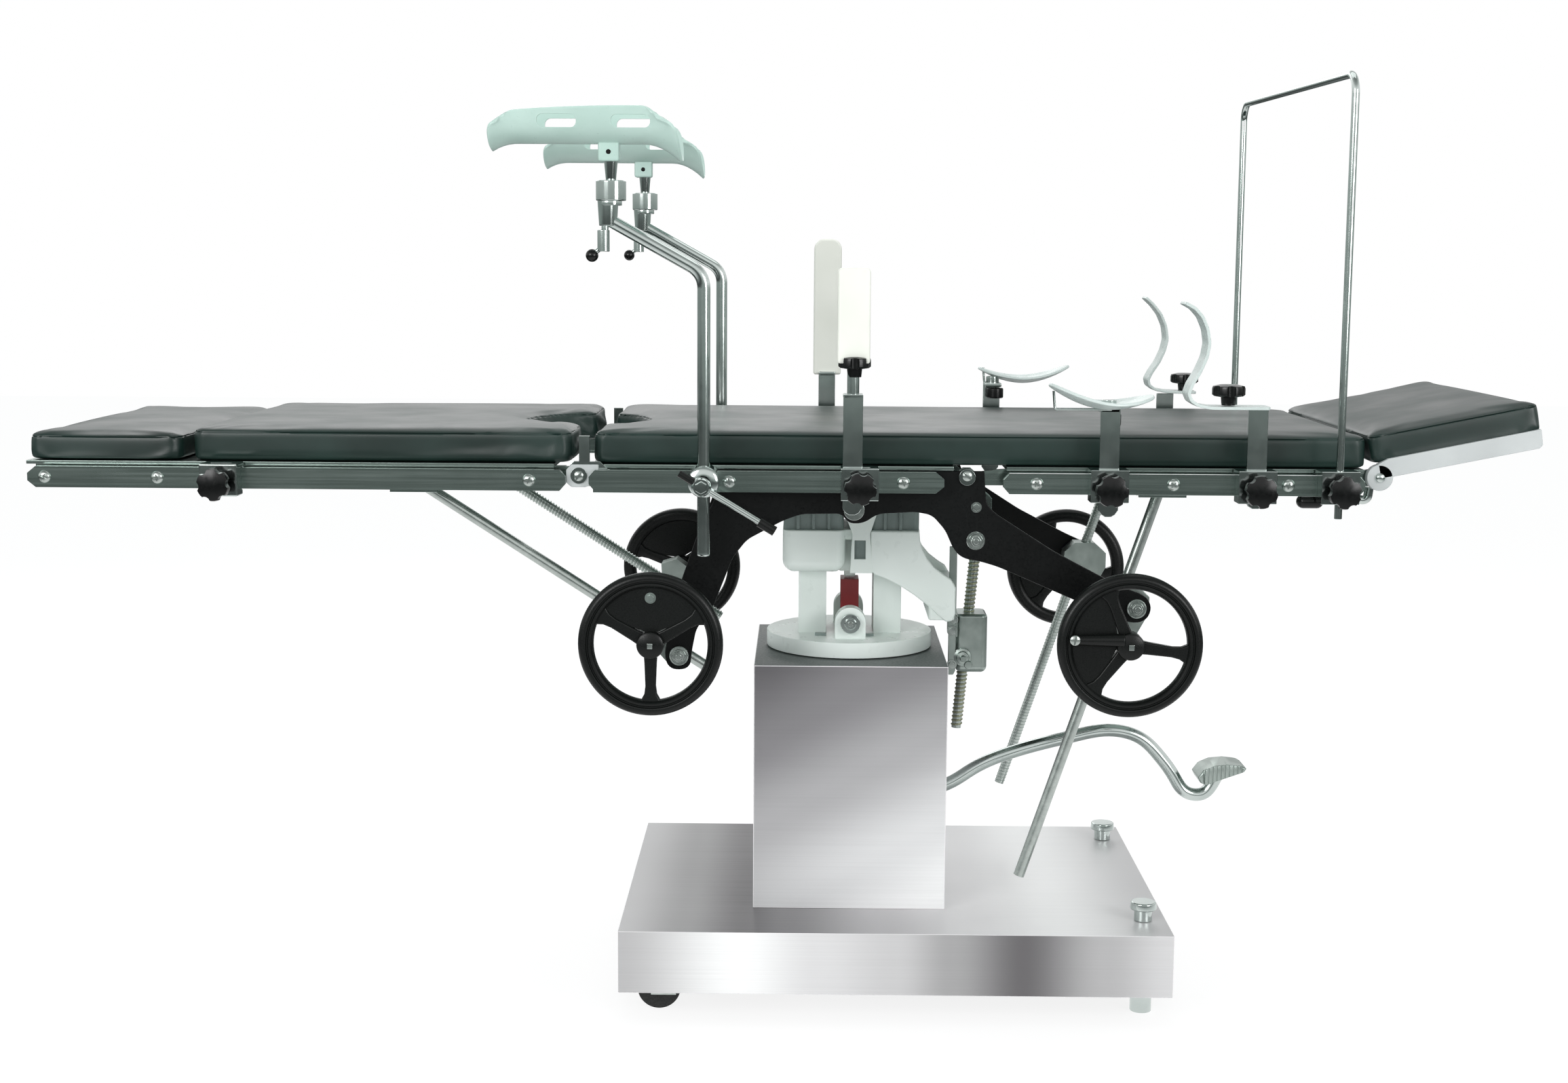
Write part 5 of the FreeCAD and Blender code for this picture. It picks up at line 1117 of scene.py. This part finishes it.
# %% Shoulder rests
RESTS = {
    "near": (626, 0, [(640, 848), (600, 848), (562, 848), (546, 851), (536, 857), (532, 866), (536, 878), (546, 895),
                      (554, 914), (557, 932), (554, 950), (547, 966), (537, 977), (524, 984)]),
    "far": (599, -16, [(644, 833), (618, 833), (596, 834), (580, 837), (570, 844), (568, 853), (574, 865), (584, 880),
                       (592, 898), (596, 916), (593, 936), (585, 954), (574, 968), (561, 980)]),
}
for side, (x, drop, line) in RESTS.items():
    way = SIDES[side]
    low, high = sorted((way * 254, way * 297))
    parts = stand(x, way * 281, 715, 846 + drop)
    dress(joined("rest_stand_" + side, parts), chrome, "rest_" + side, "chrome", "shoulder_rest_" + side)
    strip = mesh_piece("strip", [(px, low, pz) for px, pz in line], [(n, n + 1) for n in range(len(line) - 1)])
    choose(strip, "EDGE", lambda a, b: True)
    bpy.ops.mesh.extrude_edges_move(TRANSFORM_OT_translate={"value": (0, (high - low) * MM, 0)})
    choose(strip, "FACE", lambda centre, normal: True)
    bpy.ops.mesh.subdivide(number_cuts=2)
    bpy.ops.object.mode_set(mode="OBJECT")
    modify(strip, "SUBSURF", levels=2)
    outward(strip)
    modify(strip, "SOLIDIFY", thickness=4.0 * MM, offset=0.0)
    outward(strip)
    dress(joined("rest_strip_" + side, [soften(strip, 1.2, 2, 50)]), dish_plastic, "rest_" + side, "white_plastic")
print("rests done")

# %% [markdown]
# ## Star knobs
# The clamp screws and the rests are tightened by six-lobed knobs of black resin. One knob is
# cut from a disc by six round cutters, like the tool that makes the mould, and its edges are
# rolled. Then it is copied to every clamp.

# %% Star knobs
knob = lathe([(0, -15), (12, -15), (20.5, -13), (21.5, -10), (21.5, -2), (19, 0), (10, 1.5), (9, 12), (0, 12)],
             (0, 0), 72)
for n in range(6):
    angle = math.radians(60 * n + 30)
    minus(knob, cylinder("Y", 7, -20, 8, 24.5 * math.cos(angle), 24.5 * math.sin(angle), sides=24))
knob = smooth(soften(outward(knob), 1.8, 3, 40), 50)
KNOBS = {
    ("seat_knobs", "frame"): ((106, -1, 10), (67, 1, 40)),
    ("leg_knob", "leg"): ((-737, -1, 25),),
    ("back_knobs", "back"): ((433, -1, 5), (326, 1, 30), (626, -1, 20), (599, 1, 45), (734, -1, 35), (709, 1, 15)),
}
for (node, body), places in KNOBS.items():
    items = []
    for x, way, turn in places:
        twist = Matrix.Rotation(math.radians(turn), 4, "Y")
        items.append(copy_of(knob, node, (x, -311, 741), twist, mirrored=way > 0))
    dress(joined("star_" + node, items), phenolic, body, "black_plastic", node)
for side, (x, drop, low) in {"near": (587, 0, 851), "far": (628, -16, 835)}.items():
    upright = Matrix.Rotation(math.radians(-90), 4, "X")
    item = copy_of(knob, "rest_knob", (x, SIDES[side] * 278, low + 12), upright)
    dress(joined("rest_knob_" + side, [item]), phenolic, "rest_" + side, "black_plastic")
upright = Matrix.Rotation(math.radians(-90), 4, "X")
item = copy_of(knob, "brace_knob", (98, -270, 896), upright)
dress(joined("brace_knob", [item]), phenolic, "brace_near", "black_plastic")
bpy.data.objects.remove(knob)
print("star knobs placed")

# %% [markdown]
# ## Head section frame and small fittings
# The head section hangs on two flat light grey bars that end in a round disc at the hinge. A
# black oval knob under the back rail releases it. The hinge between the leg and seat sections
# shows a pale plate behind its slotted screw.

# %% Head section frame
bars = []
for way in (-1, 1):
    low, high = sorted((way * 238, way * 250))
    bar = plate([(797, 752), (820, 752), (1010, 752), (1015, 756), (1016, 777), (812, 777), (797, 772)], low, high)
    disc = cylinder("Y", 17.5, low, high, 797, 754, sides=56)
    bars += [soften(bar, 1.0), soften(disc, 1.2)]
    cap = lathe([(0, -254.5), (4.4, -254), (6.2, -252.4), (6.6, -250), (0, -250)], HEAD_HINGE, 28)
    if way > 0:
        far_side(cap)
    cap.data.transform(rise)
    dress(joined("head_hinge_cap_%d" % (way > 0), [cap]), chrome, "head", "chrome")
    bars.append(cylinder("Y", 6, way * 210, way * 250, 797, 754))
bars.append(soften(block((813, 1013), (-249, 249), (771, 774.5)), 0.8))
sheet = joined("head_side_bars", bars)
sheet.data.transform(rise)
dress(sheet, head_grey, "head", "grey_enamel", "head_frame")
oval = soften(block((687, 722), (-262, -242), (713, 731)), 8.6, 6)
dress(joined("release_knob", [oval]), phenolic, "back", "black_plastic")
links = []
for way in (-1, 1):
    outline = [(-283, 741), (-276, 735), (-258, 735), (-246, 739), (-240, 750), (-240, 765), (-276, 765), (-283, 758)]
    links.append(soften(plate(outline, *sorted((way * 257.5, way * 261.5))), 1.2))
dress(joined("hinge_links", links), head_grey, "frame", "chrome")
print("head frame done")

# %% [markdown]
# ## Rail clamps
# Flat bars are held by square clamps hooked round the rail. The crutch posts have a round
# clamp instead, so that one is turned.

# %% Seat clamps
clamps = from_frame("seat_clamps", 2.2, 3)
choose(clamps, "FACE", lambda centre, normal: centre.x < -20)
bpy.ops.mesh.delete(type="FACE")
bpy.ops.object.mode_set(mode="OBJECT")
rings = [clamps]
for way in (-1, 1):
    ring = lathe([(9, -258), (19, -258), (21, -260), (21, -297), (9, -297)], CRUTCH_CLAMP, 48)
    rings.append(far_side(ring) if way > 0 else ring)
dress(joined("seat_rail_clamps", rings), chrome, "frame", "chrome", "seat_clamps")

# %% [markdown]
# ## Solids that only need their edges and their finish
# The rest of the CAD solids already have the right shape. A merged copy of each gets small
# rounded edges, because a real edge always catches a line of light, and its own finish.

# %% Dress the plain solids
EDGE = {
    "leg_gearboxes": (3.0, 3), "back_gearboxes": (3.0, 3),
    "hinge_pivots": (1.2, 2), "seat_clamps": (2.2, 3), "back_clamps": (2.2, 3), "leg_clamp": (2.2, 3),
    "seat_rails": (1.6, 3), "leg_rails": (1.6, 3), "back_rails": (1.6, 3),
}
OTHER = {"leg_gearboxes": zinc, "back_gearboxes": zinc}
MADE_ABOVE = ("foot_pad", "leg_pad", "seat_pad", "back_pad", "head_pad", "leg_handwheels", "back_handwheels",
              "base_cover", "column_cover", "saddle_casting", "pedestal_yoke", "saddle_housings",
              "tilt_gear_housing", "seat_knobs", "leg_knob", "back_knobs", "head_frame", "side_plates",
              "pedal_lever", "pedal_tread", "levelling_foot_near", "levelling_foot_far", "seat_clamps",
              "crutch_", "side_brace_", "arm_dish_", "shoulder_rest_")
replaced = {node for node in SLOT_OF if node.startswith(MADE_ABOVE)}
for node, slot in SLOT_OF.items():
    if node in replaced:
        continue
    width, segments = EDGE.get(node, (0.8, 2))
    piece = from_frame(node, width, segments)
    dress(piece, OTHER.get(node, FINISH[slot]), BODY_OF[node], slot, node)
    # The rails' top chamfer faces take the near-white painted highlight.
    if node.endswith("_rails"):
        piece.data.materials.append(painted_edge_highlight)
        top = max(v.co.z for v in piece.data.vertices)
        for face in piece.data.polygons:
            if 0.25 < face.normal.z < 0.95 and abs(face.normal.y) > 0.2 and face.center.z > top - 0.004:
                face.material_index = 1
for blank in blanks.values():
    bpy.data.objects.remove(blank)
print("dressed", len(SLOT_OF) - len(replaced), "solids")

# %% [markdown]
# ## Studio
# The photograph is a cut-out on white, taken from a little above the table top at about
# three metres. Plain white floor and background show to the camera, and large soft lamps
# light the table. Metal needs something darker to reflect, so away from the table the floor
# falls off to grey in reflections only.

# %% Camera
CAMERA_AT = Vector((0.0353, -3.0334, 1.0437))
YAW, PITCH, ROLL = -0.0103, 0.1360, 0.0062
ahead = Vector((math.sin(YAW) * math.cos(PITCH), math.cos(YAW) * math.cos(PITCH), -math.sin(PITCH)))
level = Vector((math.cos(YAW), -math.sin(YAW), 0))
above = level.cross(ahead)
right = level * math.cos(ROLL) + above * math.sin(ROLL)
up = above * math.cos(ROLL) - level * math.sin(ROLL)
lens = bpy.data.cameras.new("studio_camera")
lens.sensor_width = 36.0
lens.lens = 3098.7 / 2311 * 36.0
camera = bpy.data.objects.new("studio_camera", lens)
bpy.context.scene.collection.objects.link(camera)
camera.matrix_world = Matrix.Translation(CAMERA_AT) @ Matrix((right, up, -ahead)).transposed().to_4x4()
bpy.context.scene.camera = camera
print("camera", [round(v, 3) for v in CAMERA_AT])

# %% [markdown]
# The floor shows as white paper with the table's soft shadow. Mirror-like metal sees it go
# from white near the table to dark grey further off, as a studio sweep does where its light
# ends.

# %% Floor
bpy.ops.mesh.primitive_plane_add(size=24, location=(0, 0, -0.0005))
floor = settle(bpy.context.object)
floor.name = "studio_floor"
paper = bpy.data.materials.new("white_paper_floor")
paper.use_nodes = True
tree = paper.node_tree
tree.nodes.clear()
path = add_node(tree, "ShaderNodeLightPath")
seen = add_node(tree, "ShaderNodeMath", [(0, path.outputs["Is Camera Ray"]),
                                         (1, path.outputs["Is Transmission Ray"])], operation="MAXIMUM")
lit = add_node(tree, "ShaderNodeBsdfDiffuse", Color=(0.8, 0.8, 0.8, 1))
soft = add_node(tree, "ShaderNodeBsdfDiffuse", Color=(0.20, 0.20, 0.20, 1))
glow = add_node(tree, "ShaderNodeEmission", Color=(1, 1, 1, 1), Strength=0.86)
shown = add_node(tree, "ShaderNodeAddShader", [(0, soft.outputs[0]), (1, glow.outputs[0])])
spots = add_node(tree, "ShaderNodeTexCoord").outputs["Object"]
distance = add_node(tree, "ShaderNodeVectorMath", [(0, spots)], operation="LENGTH")
fall = add_node(tree, "ShaderNodeMapRange", [("Value", distance.outputs["Value"])], From_Min=1.2, From_Max=5.0)
sweep = add_node(tree, "ShaderNodeValToRGB", [("Fac", fall.outputs["Result"])],
                 [(0.0, "#ffffff"), (0.45, "#8b9090"), (1.0, "#4a4e4d")])
mirror = add_node(tree, "ShaderNodeEmission", [("Color", sweep.outputs["Color"])], Strength=1.0)
first = add_node(tree, "ShaderNodeMixShader", [("Fac", seen.outputs[0]), (1, lit.outputs[0]), (2, shown.outputs[0])])
second = add_node(tree, "ShaderNodeMixShader", [("Fac", path.outputs["Is Glossy Ray"]), (1, first.outputs[0]),
                                                (2, mirror.outputs[0])])
add_node(tree, "ShaderNodeOutputMaterial", [("Surface", second.outputs[0])])
floor.data.materials.append(paper)

# %% [markdown]
# The room is white to the camera. As light it is a weak even glow, and in a mirror it is
# brightest at lamp height and grey overhead and at the skirting.

# %% World
world = bpy.data.worlds.new("white_studio")
bpy.context.scene.world = world
world.use_nodes = True
tree = world.node_tree
tree.nodes.clear()
path = add_node(tree, "ShaderNodeLightPath")
seen = add_node(tree, "ShaderNodeMath", [(0, path.outputs["Is Camera Ray"]),
                                         (1, path.outputs["Is Transmission Ray"])], operation="MAXIMUM")
way = add_node(tree, "ShaderNodeTexCoord").outputs["Generated"]
height = add_node(tree, "ShaderNodeSeparateXYZ", [("Vector", way)])
room = add_node(tree, "ShaderNodeValToRGB", [("Fac", height.outputs["Z"])], [
    (0.0, "#9aa3a0"), (0.06, "#ced3d1"), (0.14, "#ffffff"), (0.45, "#ffffff"), (0.7, "#b9bcbb"), (1.0, "#7d8281")])
ambient = add_node(tree, "ShaderNodeBackground", Color=(0.93, 0.97, 0.97, 1), Strength=0.66)
white = add_node(tree, "ShaderNodeBackground", Color=(1, 1, 1, 1), Strength=1.0)
mirror = add_node(tree, "ShaderNodeBackground", [("Color", room.outputs["Color"])], Strength=1.0)
first = add_node(tree, "ShaderNodeMixShader", [("Fac", seen.outputs[0]), (1, ambient.outputs[0]),
                                               (2, white.outputs[0])])
second = add_node(tree, "ShaderNodeMixShader", [("Fac", path.outputs["Is Glossy Ray"]), (1, first.outputs[0]),
                                                (2, mirror.outputs[0])])
add_node(tree, "ShaderNodeOutputWorld", [("Surface", second.outputs[0])])

# %% [markdown]
# Four large lamps give the soft studio light: two in front, a weak one overhead and one behind.

# %% Lamps


def lamp(name, place, target, size, watts, tone=(1, 1, 1)):
    """Large soft lamp aimed at a point."""
    data = bpy.data.lights.new(name, "AREA")
    data.shape = "RECTANGLE"
    data.size, data.size_y = size
    data.energy = watts
    data.color = tone
    item = bpy.data.objects.new(name, data)
    bpy.context.scene.collection.objects.link(item)
    item.location = place
    item.rotation_euler = (Vector(target) - Vector(place)).to_track_quat("-Z", "Y").to_euler()
    return item


lamp("lamp_front_left", (-2.4, -3.6, 2.2), (0, 0, 0.5), (2.2, 1.6), 72)
lamp("lamp_front_right", (2.8, -3.0, 1.6), (0.1, 0, 0.4), (1.6, 1.6), 50)
lamp("lamp_top", (0.2, 0.6, 3.4), (0, 0, 0.7), (3.2, 1.8), 20)
lamp("lamp_back", (-0.6, 3.2, 2.4), (0, 0, 0.7), (3.0, 1.4), 18)
bpy.context.scene.view_settings.view_transform = "Standard"
